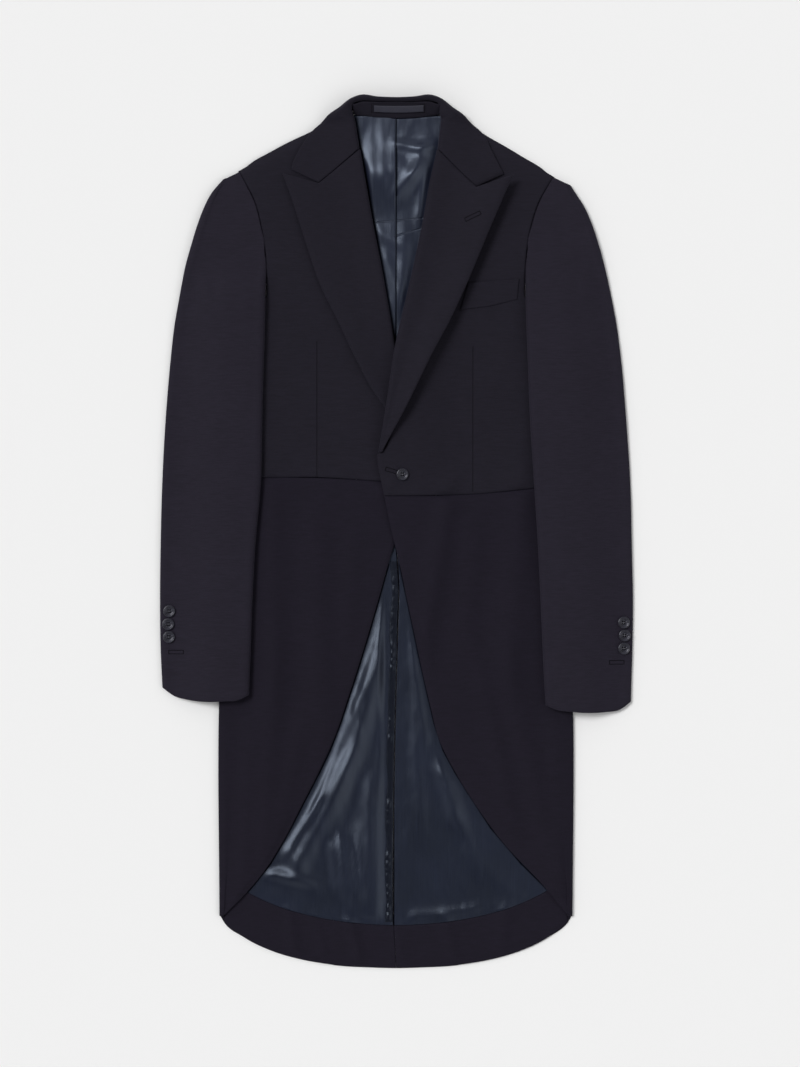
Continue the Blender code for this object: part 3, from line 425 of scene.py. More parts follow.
# Creases, as soft ridges and troughs.
# Columns: x and y of one end, x and y of the other, half width, height
SLEEVE_CREASES = (
    (-262, 300, -205, 262, 9, 0.7),
    (-250, 235, -186, 252, 8, -0.6),
    (-268, 120, -196, 96, 12, 0.6),
    (-262, 62, -188, 40, 10, -0.5),
    (-240, -40, -190, -66, 13, 0.5),
    (-262, -120, -215, -104, 9, -0.4),
    (-226, 380, -196, 330, 10, 0.8),
    (258, 306, 202, 270, 9, 0.7),
    (252, 242, 188, 256, 8, -0.6),
    (270, 132, 200, 110, 12, 0.6),
    (262, 60, 190, 72, 10, -0.5),
    (246, -60, 196, -38, 13, 0.5),
    (266, -168, 214, -150, 9, -0.4),
    (222, 378, 192, 326, 10, 0.8),
)
FRONT_CREASES = (
    (-150, 290, -128, 236, 13, 0.9),
    (-140, 132, -62, 92, 14, -0.9),
    (-150, 84, -120, 120, 9, 0.6),
    (-152, 20, -150, -140, 15, 4.4),
    (-151, -190, -158, -340, 17, 5.2),
    (-96, -40, -92, -190, 17, 4.2),
    (-52, -30, -58, -110, 11, 1.9),
    (-178, -260, -186, -420, 12, 2.6),
    (-118, -250, -134, -330, 12, 2.6),
    (146, 268, 126, 196, 13, 0.9),
    (136, 128, 64, 84, 14, -0.9),
    (150, 90, 118, 110, 9, 0.6),
    (148, 20, 140, -140, 16, 4.2),
    (58, 12, 34, -124, 14, 6.7),
    (92, -20, 84, -120, 13, 2.6),
    (140, -190, 182, -370, 15, 3.8),
    (104, -180, 132, -310, 12, 2.9),
    (192, -240, 198, -390, 10, 2.2),
    (-4, 62, -14, 52, 8, 2.0),
)
TAIL_FOLDS = (
    (2, -60, -34, -196, 15, 4.2),
    (-34, -196, -66, -300, 15, 4.6),
    (-66, -300, -112, -392, 13, 4.2),
    (-66, -246, -96, -330, 4, 1.6),
    (-96, -330, -124, -374, 5, 2.2),
    (-40, -210, -62, -262, 7, -1.6),
    (-150, -416, -116, -424, 7, 3.2),
    (-128, -392, -108, -420, 8, 2.0),
    (-66, -396, -52, -440, 13, 3.6),
    (-30, -330, -26, -440, 15, 4.6),
    (-14, -190, -14, -300, 8, 2.0),
    (22, -150, 34, -240, 8, 1.6),
    (16, -90, 28, -170, 7, 1.4),
    (24, -250, 30, -330, 9, 1.6),
    (57, -298, 69, -338, 9, 4.0),
    (74, -334, 96, -400, 8, 1.6),
    (20, -472, 84, -464, 9, 2.4),
    (-78, -388, -72, -426, 5, 2.2),
    (-67, -380, -62, -430, 5, 2.7),
    (-56, -386, -51, -436, 5, 2.9),
    (-45, -380, -42, -430, 5, 2.5),
    (-35, -340, -34, -410, 5, 1.2),
    (-52, -200, -46, -236, 5, 0.9),
    (10, -220, 12, -300, 5, 0.8),
    (112, -408, 142, -440, 10, 1.2),
)
HEM_FOLDS = (
    (-54, -482, -46, -512, 6, 3.2),
    (-128, -474, -123, -510, 7, 2.9),
    (-94, -484, -88, -512, 5, 1.6),
    (3, -497, 8, -516, 6, 1.6),
    (62, -480, 70, -512, 9, 2.6),
    (132, -466, 128, -500, 9, 2.2),
)
NECK_FOLDS = (
    (-38, 430, 0, 436, 27, 7.4),
    (-30, 470, -28, 440, 5, 0.8),
    (-18, 474, -16, 430, 5, 0.9),
    (-26, 366, -2, 352, 9, 1.6),
    (-12, 330, 2, 290, 8, 1.6),
    (6, 470, 30, 466, 6, 2.2),
    (30, 466, 50, 470, 6, 1.8),
    (30, 458, 22, 436, 8, 3.0),
    (22, 436, 4, 414, 8, 2.8),
    (10, 452, 16, 446, 8, -0.8),
    (34, 420, 30, 388, 7, 2.2),
    (10, 350, 8, 300, 8, 1.8),
)


def smooth_between(t, step, values, slopes, low):
    """Smooth line from each low value to the next, with t from 0 to 1 over a step."""
    return (
        (2 * t**3 - 3 * t**2 + 1) * values[low]
        + (t**3 - 2 * t**2 + t) * step * slopes[low]
        + (3 * t**2 - 2 * t**3) * values[low + 1]
        + (t**3 - t**2) * step * slopes[low + 1]
    )


def at(table, key, column=1):
    """Value of a table's column at a key, on a smooth line through its rows."""
    rows = np.array(sorted(table), float)
    keys = rows[:, 0]
    values = rows[:, column]
    slopes = np.gradient(values, keys)
    key = np.clip(np.asarray(key, float), keys[0], keys[-1])
    low = np.clip(np.searchsorted(keys, key) - 1, 0, len(keys) - 2)
    step = keys[low + 1] - keys[low]
    return smooth_between((key - keys[low]) / step, step, values, slopes, low)


def ramp(value, start, end):
    """Smooth rise from 0 at start to 1 at end."""
    t = np.clip((np.asarray(value, float) - start) / (end - start), 0.0, 1.0)
    return t * t * (3.0 - 2.0 * t)


def bell(t):
    return np.exp(-np.square(t))


def mix(a, b, share):
    return a + (b - a) * share


# Heights of the layers


def back_high(out):
    """Upper face of the back, which lies flat on the floor."""
    return np.full(np.shape(out), BACK_WALL)


def below_shoulder(side, out, y):
    return at(SHOULDER, out, SIDE_COLUMN[side]) - y


def front_low(side, out, y):
    """Underside of the forepart and of the skirt's upper layer."""
    room = BODY_ROOM * ramp(below_shoulder(side, out, y), -1, 15)
    low = back_high(out) + LAYER_GAP + room
    if side == "left":
        low = low + at(LAP, y) * (1 - ramp(out, 25, 78))
    return low


def front_wall(side, out, y):
    chest = CHEST_PAD * bell((out - 95) / 62) * bell((y - 300) / 85)
    pad = SHOULDER_PAD * bell((out - 140) / 50) * bell((y - 425) / 42)
    edge = 0.5 + 0.5 * ramp(below_shoulder(side, out, y), -1, 12)
    return (FRONT_WALL + chest + pad) * edge


def front_high(side, out, y):
    return front_low(side, out, y) + front_wall(side, out, y)


def sleeve_columns(side):
    return (1, 2) if side == "right" else (3, 4)


def sleeve_edges(side, y):
    """Inner and outer fold of the sleeve at one station, as points (out, y)."""
    inner, outer = sleeve_columns(side)
    slant = 10.0 * ramp(y, 375, SLEEVE_TOP[side])
    return (
        np.array([at(SLEEVE, y, inner), y]),
        np.array([at(SLEEVE, y - slant, outer), y - slant]),
    )


def arm_share(y):
    """1 where the sleeve is a tube on the body, 0 where it is set into the armhole."""
    return 1 - ramp(y, 290, 348)


def sleeve_low(side, out, y):
    """What the sleeve's lower layer rests on: the body, then the floor."""
    edge = at(BODY_SIDE, y)
    outer = at(SLEEVE, y, sleeve_columns(side)[1])
    body = front_high(side, np.minimum(out, edge), y) + SLEEVE_REST
    return body * (1 - ramp(out, edge + 1, outer - 4)) * arm_share(y)


def sleeve_high(side, out, y, share):
    """Top of the sleeve; share runs from 0 at the inner fold to 1 at the outer one."""
    arm = sleeve_low(side, out, y) + SLEEVE_DEPTH
    inner = at(SLEEVE, y, sleeve_columns(side)[0])
    seam = front_high(side, inner - 1.0, y) + 0.5
    cap = mix(seam, 8.0, ramp(share, 0, 1))
    top = mix(cap, arm, arm_share(y))
    return mix(5.2, top, ramp(SLEEVE_TOP[side] - y, -2, 26))


# Fine grids


def chord_keys(grid):
    steps = np.linalg.norm(np.diff(grid, axis=0), axis=2).mean(axis=1)
    return np.concatenate([[0.0], np.cumsum(np.maximum(steps, 1e-3))])


def refine_rows(grid, pitch):
    """More rows, about pitch apart, on smooth lines through a grid's own rows."""
    keys = chord_keys(grid)
    slopes = np.gradient(grid, keys, axis=0)
    wanted = [keys[0]]
    for start, end in zip(keys, keys[1:]):
        count = max(1, int(round((end - start) / pitch)))
        wanted += list(np.linspace(start, end, count + 1)[1:])
    wanted = np.array(wanted)
    low = np.clip(np.searchsorted(keys, wanted, side="right") - 1, 0, len(keys) - 2)
    step = (keys[low + 1] - keys[low])[:, None, None]
    return smooth_between((wanted - keys[low])[:, None, None] / step, step, grid, slopes, low)


def refine(grid, row_pitch, column_pitch, corner=None):
    """A finer grid; the lines may turn sharply at the column named as corner."""
    grid = refine_rows(np.asarray(grid, float), row_pitch).transpose(1, 0, 2)
    if corner is None:
        return refine_rows(grid, column_pitch).transpose(1, 0, 2)
    before = refine_rows(grid[: corner + 1], column_pitch)
    after = refine_rows(grid[corner:], column_pitch)
    return np.concatenate([before, after[1:]]).transpose(1, 0, 2)


def grid_normals(mid):
    down = np.gradient(mid, axis=0)
    across = np.gradient(mid, axis=1)
    normal = np.cross(across, down)
    return normal / np.maximum(np.linalg.norm(normal, axis=2, keepdims=True), 1e-9)


def creases(table, x, y):
    """Height of the soft ridges and troughs at points of the laid coat."""
    total = np.zeros(np.shape(x))
    for x0, y0, x1, y1, half, height in table:
        along = np.array([x1 - x0, y1 - y0], float)
        length = np.linalg.norm(along)
        along = along / length
        reach = (x - x0) * along[0] + (y - y0) * along[1]
        aside = (x - x0) * along[1] - (y - y0) * along[0]
        beyond = np.maximum(np.maximum(-reach, reach - length), 0.0) / (0.3 * length + half)
        total = total + height * np.exp(-np.square(aside / half) - np.square(beyond))
    return total


def ripple(x, y, seed, size, depth):
    """Slow uneven swell of cloth, from a few seeded waves."""
    chance = np.random.default_rng(seed)
    total = np.zeros(np.shape(x))
    for _ in range(6):
        angle = chance.uniform(0, np.pi)
        length = size * chance.uniform(0.6, 1.7)
        phase = chance.uniform(0, 2 * np.pi)
        total = total + np.sin((x * np.cos(angle) + y * np.sin(angle)) * 2 * np.pi / length + phase)
    return total * depth / 6


def new_mesh(name, points, faces, material=None, smooth=True):
    mesh = bpy.data.meshes.new(name)
    mesh.from_pydata(points, [], faces)
    if smooth:
        mesh.polygons.foreach_set("use_smooth", [True] * len(faces))
    if material is not None:
        mesh.materials.append(material)
    mesh.update()
    return mesh


def add_object(name, data):
    made = bpy.data.objects.new(name, data)
    bpy.context.scene.collection.objects.link(made)
    return made


def add_shell(name, side, low, high, material):
    """A closed cloth shell between two grids of (out, y, z), standing for the CAD piece."""
    rows, columns = low.shape[:2]
    points = np.concatenate([low.reshape(-1, 3), high.reshape(-1, 3)])
    # Nothing sinks into the floor that the coat lies on
    points[:, 2] = np.maximum(points[:, 2], 0.0)
    points = points * np.array([SIGN[side], 1.0, 1.0]) * MM
    upper = rows * columns
    grid = np.arange(upper).reshape(rows, columns)
    corners = (grid[:-1, :-1], grid[:-1, 1:], grid[1:, 1:], grid[1:, :-1])
    quads = np.stack(corners, axis=-1).reshape(-1, 4)
    rim = np.concatenate([grid[0], grid[1:, -1], grid[-1, -2::-1], grid[-2:0:-1, 0]])
    after = np.roll(rim, -1)
    edge = np.stack([rim, after, upper + after, upper + rim], axis=1)
    faces = np.concatenate([quads + upper, quads[:, ::-1], edge])
    a, b, c = points[faces[:, 0]], points[faces[:, 1]], points[faces[:, 2]]
    volume = np.einsum("ij,ij->i", a, np.cross(b, c)).sum()
    if volume < 0:
        faces = faces[:, ::-1]
    made = add_object("look_" + name, new_mesh(name, points.tolist(), faces.tolist(), material))
    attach(made, "root")
    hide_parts(name)
    return made


def with_rims(grid, inset=0.7):
    """The grid with one more row and column close to each edge, so that an edge stays crisp."""
    for _ in range(2):
        first = np.linalg.norm(grid[1] - grid[0], axis=1)[:, None]
        last = np.linalg.norm(grid[-2] - grid[-1], axis=1)[:, None]
        start = grid[0] + (grid[1] - grid[0]) * np.minimum(inset / np.maximum(first, 0.01), 0.5)
        end = grid[-1] + (grid[-2] - grid[-1]) * np.minimum(inset / np.maximum(last, 0.01), 0.5)
        grid = np.concatenate([grid[:1], start[None], grid[1:-1], end[None], grid[-1:]])
        grid = grid.transpose(1, 0, 2)
    return grid


def soften_edges(low, high):
    """Brings the two faces nearer together at the rim, so that an edge is rounded."""
    middle = (low + high) / 2
    share = np.zeros(low.shape[:2])
    share[0, :] = share[-1, :] = 0.55
    share[:, 0] = share[:, -1] = 0.55
    share = share[..., None]
    return low + (middle - low) * share, high + (middle - high) * share


def add_wall(name, side, mid, wall, material, relief=None):
    """A shell about a fine grid of middle points, of one thickness or one for each point."""
    wall = np.broadcast_to(wall, mid.shape[:2])[..., None]
    both = with_rims(np.concatenate([mid, wall], axis=2))
    mid = both[..., :3]
    if relief is not None:
        mid = mid + relief(mid)[..., None] * (0, 0, 1)
    offset = grid_normals(mid) * both[..., 3:] / 2
    low, high = soften_edges(mid - offset, mid + offset)
    return add_shell(name, side, low, high, material)


def add_sheet(name, side, plan, low, high, material):
    """A shell between two height functions of (out, y) over a fine plan grid."""
    plan = with_rims(plan)
    out = plan[..., 0]
    y = plan[..., 1]
    lower = np.stack([out, y, low(out, y)], axis=2)
    upper = np.stack([out, y, high(out, y)], axis=2)
    lower, upper = soften_edges(lower, upper)
    return add_shell(name, side, lower, upper, material)


def plan_between(inner, outer, shares):
    """Grid of plan points from an inner line of (out, y) to an outer one."""
    inner = np.asarray(inner, float)[:, None, :]
    outer = np.asarray(outer, float)[:, None, :]
    return inner + (outer - inner) * np.asarray(shares, float)[None, :, None]


def front_relief(side, out, y):
    """Creases of the foreparts and skirts, with no ridge where other cloth lies over them."""
    x = SIGN[side] * out
    column = SIDE_COLUMN[side]
    swell = creases(FRONT_CREASES, x, y) + ripple(x, y, 5 if side == "right" else 6, 150, 0.5)
    sleeve = np.where(y > -225, at(SLEEVE, y, sleeve_columns(side)[0]), 400.0)
    lapel = np.where(y > LAPEL_FOOT_Y - 5, at(LAPEL_EDGE, y, column), -400.0)
    clear = ramp(sleeve - out, 0, 14) * ramp(out - lapel, 0, 14)
    edge = ramp(out - at(FRONT_EDGE, y, column), 0, 12) * ramp(np.abs(y - at(WAIST, out, column)), 0, 9)
    side_fold = ramp(at(BODY_SIDE, y) - out, 2, 16)
    return np.where(swell > 0, clear * swell, swell) * edge * side_fold


# Body pieces


def armhole_out(side, y):
    return at(SLEEVE, y, sleeve_columns(side)[0]) - SEAM


def back_centre(side, y):
    """Outward distance of the centre back seam and, below it, of the vent's edge."""
    return -SIGN_OF_VENT[side] * at(VENT_LINE, y) + SEAM / 2


def make_back(side, cloth):
    column = SIDE_COLUMN[side]
    tail = np.linspace(0, 1, TAIL_STATIONS)
    spots = [(mix(-529.8, UNDER_WAIST_Y, s), mix(UNDER_HEM_Y, UNDER_WAIST_Y, s)) for s in tail]
    spots += [(y, y) for y in BACK_STATIONS]
    top = SLEEVE_TOP[side]
    spots += [(mix(y, 503, ramp(y, ARMHOLE_Y, top) * 0.9), y) for y in ARMHOLE_STATIONS]
    spots += [(504.0, top - 1)]
    inner = [(back_centre(side, y), y) for y, _ in spots]
    # Its armhole edge runs on as a seam allowance under the sleeve's
    hole = [armhole_out(side, y) + 2.4 * ramp(y, 296, 330) for _, y in spots]
    outer = [(h if y >= ARMHOLE_Y else at(BACK_SEAM, y) - 0.2, y) for h, (_, y) in zip(hole, spots)]
    plan = plan_between(inner, outer, (0, 0.25, 0.5, 0.62, 0.8, 1))
    plan[0, :, 1] = at(HEM, plan[0, :, 0])
    head = plan[-1, :, 0]
    line = at(SHOULDER, head, column) - mix(10.0, 2.0, ramp(head, 95, 125))
    neck = 503.5 + 3.0 * ramp(head, 25, 42)
    plan[-1, :, 1] = np.where(head < 60, neck, line)
    plan = refine(plan, row_pitch=9, column_pitch=7)
    add_sheet(f"back_{side}", side, plan, lambda out, y: 0 * out, lambda out, y: back_high(out), cloth)


def fold_section(top_out, top_y, top_z, side_out, side_y, under_out, under_y, arc=3):
    """Middle line of a layer that runs out on top, folds at the side and returns below."""
    low_z = BACK_WALL / 2
    radius = (top_z[-1] - low_z) / 2
    points = [(o, y, z) for o, y, z in zip(top_out, top_y, top_z)]
    centre = side_out - radius
    for k in range(1, arc + 1):
        angle = np.pi * k / (arc + 1)
        height = low_z + radius * (1 + np.cos(angle))
        points.append((centre + radius * np.sin(angle), side_y, height))
    points += [(o, y, low_z) for o, y in zip(under_out, under_y)]
    return points


def fold_walls(top_wall, top_count, arc, under_count):
    blend = [mix(top_wall, BACK_WALL, k / (arc + 1)) for k in range(1, arc + 1)]
    return [top_wall] * top_count + blend + [BACK_WALL] * under_count


def under_waist(side, out):
    """The waist seam on the underside, a straight line from the side to the back seam."""
    end = at(BODY_SIDE, UNDER_WAIST_Y) - SKIRT_WALL / 2
    side_y = at(WAIST, end, SIDE_COLUMN[side])
    seam = at(BACK_SEAM, UNDER_WAIST_Y)
    return mix(UNDER_WAIST_Y, side_y, (np.asarray(out) - seam) / (end - seam))


def add_folded(name, side, rows, walls, cloth, pitch, relief=None):
    """A folded layer from coarse rows of middle points and one row of walls."""
    both = np.concatenate([np.array(rows, float), np.array([walls] * len(rows))[..., None]], axis=2)
    both = refine(both, *pitch)
    add_wall(name, side, both[..., :3], both[..., 3], cloth, relief=relief)


def make_side_body(side, cloth):
    rows = []
    column = SIDE_COLUMN[side]
    for station in (None,) + BACK_STATIONS:
        level = UNDER_WAIST_Y if station is None else station
        out_side = at(BODY_SIDE, level) - SKIRT_WALL / 2
        seam = at(BACK_SEAM, level) + 0.2
        top_out = np.array([SIDE_SEAM_OUT + SEAM, out_side - 4.5, out_side - 2.6])
        under_out = mix(out_side, seam, np.array([0.0, 0.35, 0.7, 1.0]))
        under_out[0] = out_side - 2.6
        top_y = np.full(3, level)
        side_y = level
        under_y = np.full(4, level)
        if station is None:
            top_y = at(WAIST, top_out, column) + 0.5
            side_y = at(WAIST, out_side, column) + 0.5
            under_y = under_waist(side, under_out) + 0.5
        top_z = front_low(side, top_out, top_y) + SKIRT_WALL / 2
        rows.append(fold_section(top_out, top_y, top_z, out_side, side_y, under_out, under_y))
    add_folded(f"side_body_{side}", side, rows, fold_walls(SKIRT_WALL, 3, 3, 4), cloth, (9, 3))


def lapel_hook(side, y):
    """How far the lapel's turned-in edge reaches under the roll."""
    width = at(LAPEL_EDGE, y, SIDE_COLUMN[side]) - at(ROLL_LINE, y, SIDE_COLUMN[side])
    return np.clip(0.5 * width + 0.6, 2.6, 9.0)


def front_inner(side, y):
    column = SIDE_COLUMN[side]
    if y < LAPEL_FOOT_Y - 1:
        return at(FRONT_EDGE, y, column)
    return at(ROLL_LINE, y, column) + lapel_hook(side, y) + HIDDEN_SEAM


def make_forepart(side, cloth):
    column = SIDE_COLUMN[side]
    top = SLEEVE_TOP[side]
    waist_in = at(WAIST, -17, column) + WAIST_SEAM
    inner = []
    outer = []
    for inner_y, outer_y in ((waist_in, None), *FRONT_ROWS, (490.0, top - 1)):
        inner.append((front_inner(side, inner_y), inner_y))
        if outer_y is None:
            outer.append((SIDE_SEAM_OUT, at(WAIST, SIDE_SEAM_OUT, column) + WAIST_SEAM))
        elif outer_y >= ARMHOLE_Y:
            outer.append((armhole_out(side, outer_y), outer_y))
        else:
            share = ramp(outer_y, 256, 287)
            outer.append((mix(SIDE_SEAM_OUT, armhole_out(side, ARMHOLE_Y), share), outer_y))
    plan = plan_between(inner, outer, (0, 0.1, 0.25, 0.42, 0.58, 0.74, 0.88, 1))
    plan[0, :, 1] = at(WAIST, plan[0, :, 0], column) + WAIST_SEAM
    # The last rows follow the shoulder's silhouette
    for row, inset, share in ((-1, 0.8, 1.0), (-2, 9.0, 0.55)):
        slope = 4 * (1 - ramp(plan[row, :, 0], 98, 125))
        line = at(SHOULDER, plan[row, :, 0], column) - inset - slope
        hold = ramp(plan[row, :, 0], 66, 100) * share
        plan[row, :, 1] = mix(plan[row, :, 1], line, hold)
    plan[-2, -1, 1] = 419.0
    plan[-2, -2, 1] = mix(plan[-2, -2, 1], 423.0, 0.5)
    plan[-1, 0, 1] = 494.0
    plan[-1, -1, 1] = top - 1
    plan = refine(plan, row_pitch=4, column_pitch=4)

    def low(out, y):
        return front_low(side, out, y) + front_relief(side, out, y)

    def high(out, y):
        return front_high(side, out, y) + front_relief(side, out, y)

    add_sheet(f"forepart_{side}", side, plan, low, high, cloth)


def make_skirt(side, cloth):
    column = SIDE_COLUMN[side]
    rows = []
    for share in np.linspace(1, 0, TAIL_STATIONS):
        down = 1 - share
        side_out = at(BODY_SIDE, mix(UNDER_WAIST_Y, CORNER_Y, down)) - SKIRT_WALL / 2
        last = side_out - 2.5
        edge_y = mix(at(WAIST, -16, column), CORNER_Y, down)
        edge = min(at(FRONT_EDGE, edge_y, column), last - 1.6)
        top_out = mix(edge, last, np.array([0, 0.12, 0.36, 0.64, 0.86, 1]))
        waist = at(WAIST, top_out, column)
        top_y = mix(waist, CORNER_Y, down)
        side_y = mix(at(WAIST, side_out, column), CORNER_Y - 0.4, down)
        under_start = mix(UNDER_WAIST_Y, UNDER_HEM_Y, down)
        seam = at(BACK_SEAM, under_start) + 0.2
        under_out = mix(side_out - 2.5, seam, np.array([0, 0.2, 0.45, 0.72, 1]))
        under_y = mix(under_waist(side, under_out), at(HEM, under_out) + 0.3, down)
        top_z = front_low(side, top_out, top_y) + SKIRT_WALL / 2
        rows.append(fold_section(top_out, top_y, top_z, side_out, side_y, under_out, under_y))

    def relief(mid):
        return front_relief(side, mid[..., 0], mid[..., 1]) * ramp(mid[..., 2], 2.2, 3.9)

    add_folded(f"skirt_{side}", side, rows, fold_walls(SKIRT_WALL, 6, 3, 5), cloth, (5, 4), relief)


# Sleeves


def sleeve_frame(side, y):
    inner, outer = sleeve_edges(side, y)
    width = np.linalg.norm(outer - inner)
    return inner, (outer - inner) / width, width


def sleeve_spots(side, y, distances):
    """Plan points at distances from the inner fold, with the cuff's curve worked in."""
    inner, along, width = sleeve_frame(side, y)
    distances = np.asarray(distances, float)
    out = inner[0] + along[0] * distances
    line = inner[1] + along[1] * distances
    pull = 1 - ramp(y, CUFF_Y, -120)
    cuff = at(CUFF, distances / width, SIDE_COLUMN[side])
    return out, line + pull * (cuff - CUFF_Y)


def sleeve_reach(side, y):
    """Distances from the inner fold where the two turned-under edges end."""
    width = sleeve_frame(side, y)[2]
    return ARM_HOOK, mix(width - HIND_HOOK, 3.0, ramp(y, 265, 338))


def topsleeve_section(side, y):
    width = sleeve_frame(side, y)[2]
    half = SLEEVE_WALL / 2

    def low(distance):
        out, line = sleeve_spots(side, y, distance)
        return sleeve_low(side, out, line)

    def high(distance):
        out, line = sleeve_spots(side, y, distance)
        return sleeve_high(side, out, line, np.asarray(distance) / width)

    def radius(distance):
        return np.maximum((high(distance) - low(distance) - SLEEVE_WALL) / 2, 0.9)

    inner_r = float(radius(4.0))
    outer_r = float(radius(width - 4.0))
    start = inner_r + half
    end = width - outer_r - half
    arm_end, hind_end = sleeve_reach(side, y)
    curl = 1 - ramp(y, 287, 346)
    hook = mix(start, arm_end, np.array([1.0, 0.5, 0.0]))
    turn = np.radians(np.array([-45, 0, 45]))
    centre = float(high(start)) - half - inner_r
    curled_d = np.concatenate([hook, start - inner_r * np.cos(turn)])
    curled_z = np.concatenate([low(hook) + half, centre + inner_r * np.sin(turn)])
    flat_d = mix(0.2, start, np.arange(6) / 6)
    upper = mix(start, end, np.array([0, 0.1, 0.28, 0.5, 0.72, 0.9, 1]))
    back = mix(end, hind_end, np.array([0, 0.5, 1.0]))
    centre = float(high(end)) - half - outer_r
    around = end + outer_r * np.cos(turn)
    turned = mix(flat_d, curled_d, curl)
    # The edge stays on the armhole seam while the fold opens out
    drift = turned.min() - mix(0.2, half + 0.05, np.sqrt(curl))
    turned = turned - drift * (1 - ramp(turned, 0, start + 2))
    distances = np.concatenate([turned, upper, around, back])
    heights = np.concatenate([
        mix(high(flat_d) - half, curled_z, curl),
        high(upper) - half,
        centre - outer_r * np.sin(turn),
        low(back) + half,
    ])
    out, line = sleeve_spots(side, y, distances)
    return np.stack([out, line, heights], axis=1)


def make_topsleeve(side, cloth):
    stations = ARM_STATIONS + ARMHOLE_STATIONS + (SLEEVE_TOP[side] - 0.5,)
    rows = [topsleeve_section(side, y) for y in stations]

    def relief(points):
        x = SIGN[side] * points[..., 0]
        y = points[..., 1]
        inner, outer = (at(SLEEVE, y, column) for column in sleeve_columns(side))
        share = np.clip((points[..., 0] - inner) / (outer - inner), 0, 1)
        middle = sleeve_low(side, points[..., 0], y) + SLEEVE_DEPTH / 2
        upper = ramp(points[..., 2] - middle, 0, 1.4) * ramp(350 - y, 0, 60)
        seed = 3 if side == "right" else 4
        puff = SLEEVE_PUFF * np.sqrt(ramp(share, -0.14, 0.3)) * (1 - ramp(share, 0.36, 0.9))
        return (puff + creases(SLEEVE_CREASES, x, y) + ripple(x, y, seed, 120, 0.5)) * upper

    add_wall(f"topsleeve_{side}", side, refine(rows, 5, 3), SLEEVE_WALL, cloth, relief=relief)


def make_undersleeve(side, cloth):
    rows = []
    for y in ARM_STATIONS:
        inner, outer = sleeve_reach(side, y)
        spots = mix(inner + 2 * SEAM, outer - 2 * SEAM, np.linspace(0, 1, 6))
        out, line = sleeve_spots(side, y, spots)
        rows.append(np.stack([out, line], axis=1))
    add_sheet(
        f"undersleeve_{side}",
        side,
        refine(np.array(rows), 12, 9),
        lambda out, y: sleeve_low(side, out, y),
        lambda out, y: sleeve_low(side, out, y) + SLEEVE_WALL,
        cloth,
    )


# Lapels and collar


def over_front(side, out, y, wall):
    return front_high(side, out, y) + LAYER_GAP + REST_GAP + wall / 2


def roll_puff(side, y):
    """Extra height of the soft roll above a pressed fold."""
    if side == "right":
        return 2.2 * ramp(y, 232, 275)
    return 0.6 + 1.8 * ramp(y, 110, 200)


def notch_bend(line, notch, shares):
    """How far the bent gorge line lies from the straight one at each share."""
    start, end = line
    notch = np.array(notch)
    split = np.linalg.norm(notch - start)
    split = split / (split + np.linalg.norm(end - notch))
    shares = np.clip(shares, 0, 1)[:, None]
    near = start + (notch - start) * np.minimum(shares / split, 1)
    far = notch + (end - notch) * np.clip((shares - split) / (1 - split), 0, 1)
    bent = np.where(shares < split, near, far)
    return bent - (start + (end - start) * shares)


def lapel_ends(side, v):
    """The roll's point and the free edge's; v runs from 0 at the gorge to 1 at the foot."""
    column = SIDE_COLUMN[side]
    peak = np.array(GORGE[side]["peak"])
    roll_y = mix(GORGE_Y, LAPEL_FOOT_Y + 0.4, v)
    edge_y = mix(peak[1], LAPEL_FOOT_Y + 1.5, v)
    edge = np.array([at(LAPEL_EDGE, edge_y, column), edge_y])
    return np.array([at(ROLL_LINE, roll_y, column), roll_y]), mix(peak, edge, ramp(v, 0, 0.04))


def lapel_section(side, v):
    """Middle points of the lapel from under the roll to its free edge."""
    half = LAPEL_WALL / 2
    roll, edge = lapel_ends(side, v)
    width = np.linalg.norm(edge - roll)
    along = (edge - roll) / width
    core = front_low(side, roll[0] + 5, roll[1]) + FRONT_WALL / 2
    rest = float(over_front(side, roll[0] + 4, roll[1], LAPEL_WALL))
    puff = roll_puff(side, roll[1])
    radius = (rest - core + puff) / 2
    hook = lapel_hook(side, roll[1])
    near = min(radius + half, 0.7 * hook)
    turn = np.radians(np.array([-60, -30, 0, 30, 60]))
    leaf = mix(near, max(width, near + 3.0), LEAF_SHARES)
    spots = roll + along * leaf[:, None]
    lie = over_front(side, spots[:, 0], spots[:, 1], LAPEL_WALL)
    lifted = puff + rest - float(over_front(side, roll[0] + near, roll[1], LAPEL_WALL))
    edge_lift = EDGE_RISE[side] * ramp(leaf / max(width, 12.0), 0.3, 1.0) * ramp(roll[1], 95, 175)
    d = np.concatenate([[hook, (hook + near) / 2], near - (near - half) * np.cos(turn), leaf])
    z = np.concatenate([
        [core, core],
        core + radius + radius * np.sin(turn),
        lie + lifted * (1 - ramp(leaf, near, near + 30)) + edge_lift,
    ])
    bend = (1 - ramp(v, 0, 0.3)) * notch_bend(lapel_ends(side, 0), GORGE[side]["notch"], d / width)
    return np.column_stack([roll + along * d[:, None] + bend, z])


def make_lapel(side, cloth):
    rows = np.array([lapel_section(side, v) for v in np.linspace(0, 1, 64)])
    add_wall(f"lapel_{side}", side, rows, LAPEL_WALL, cloth)


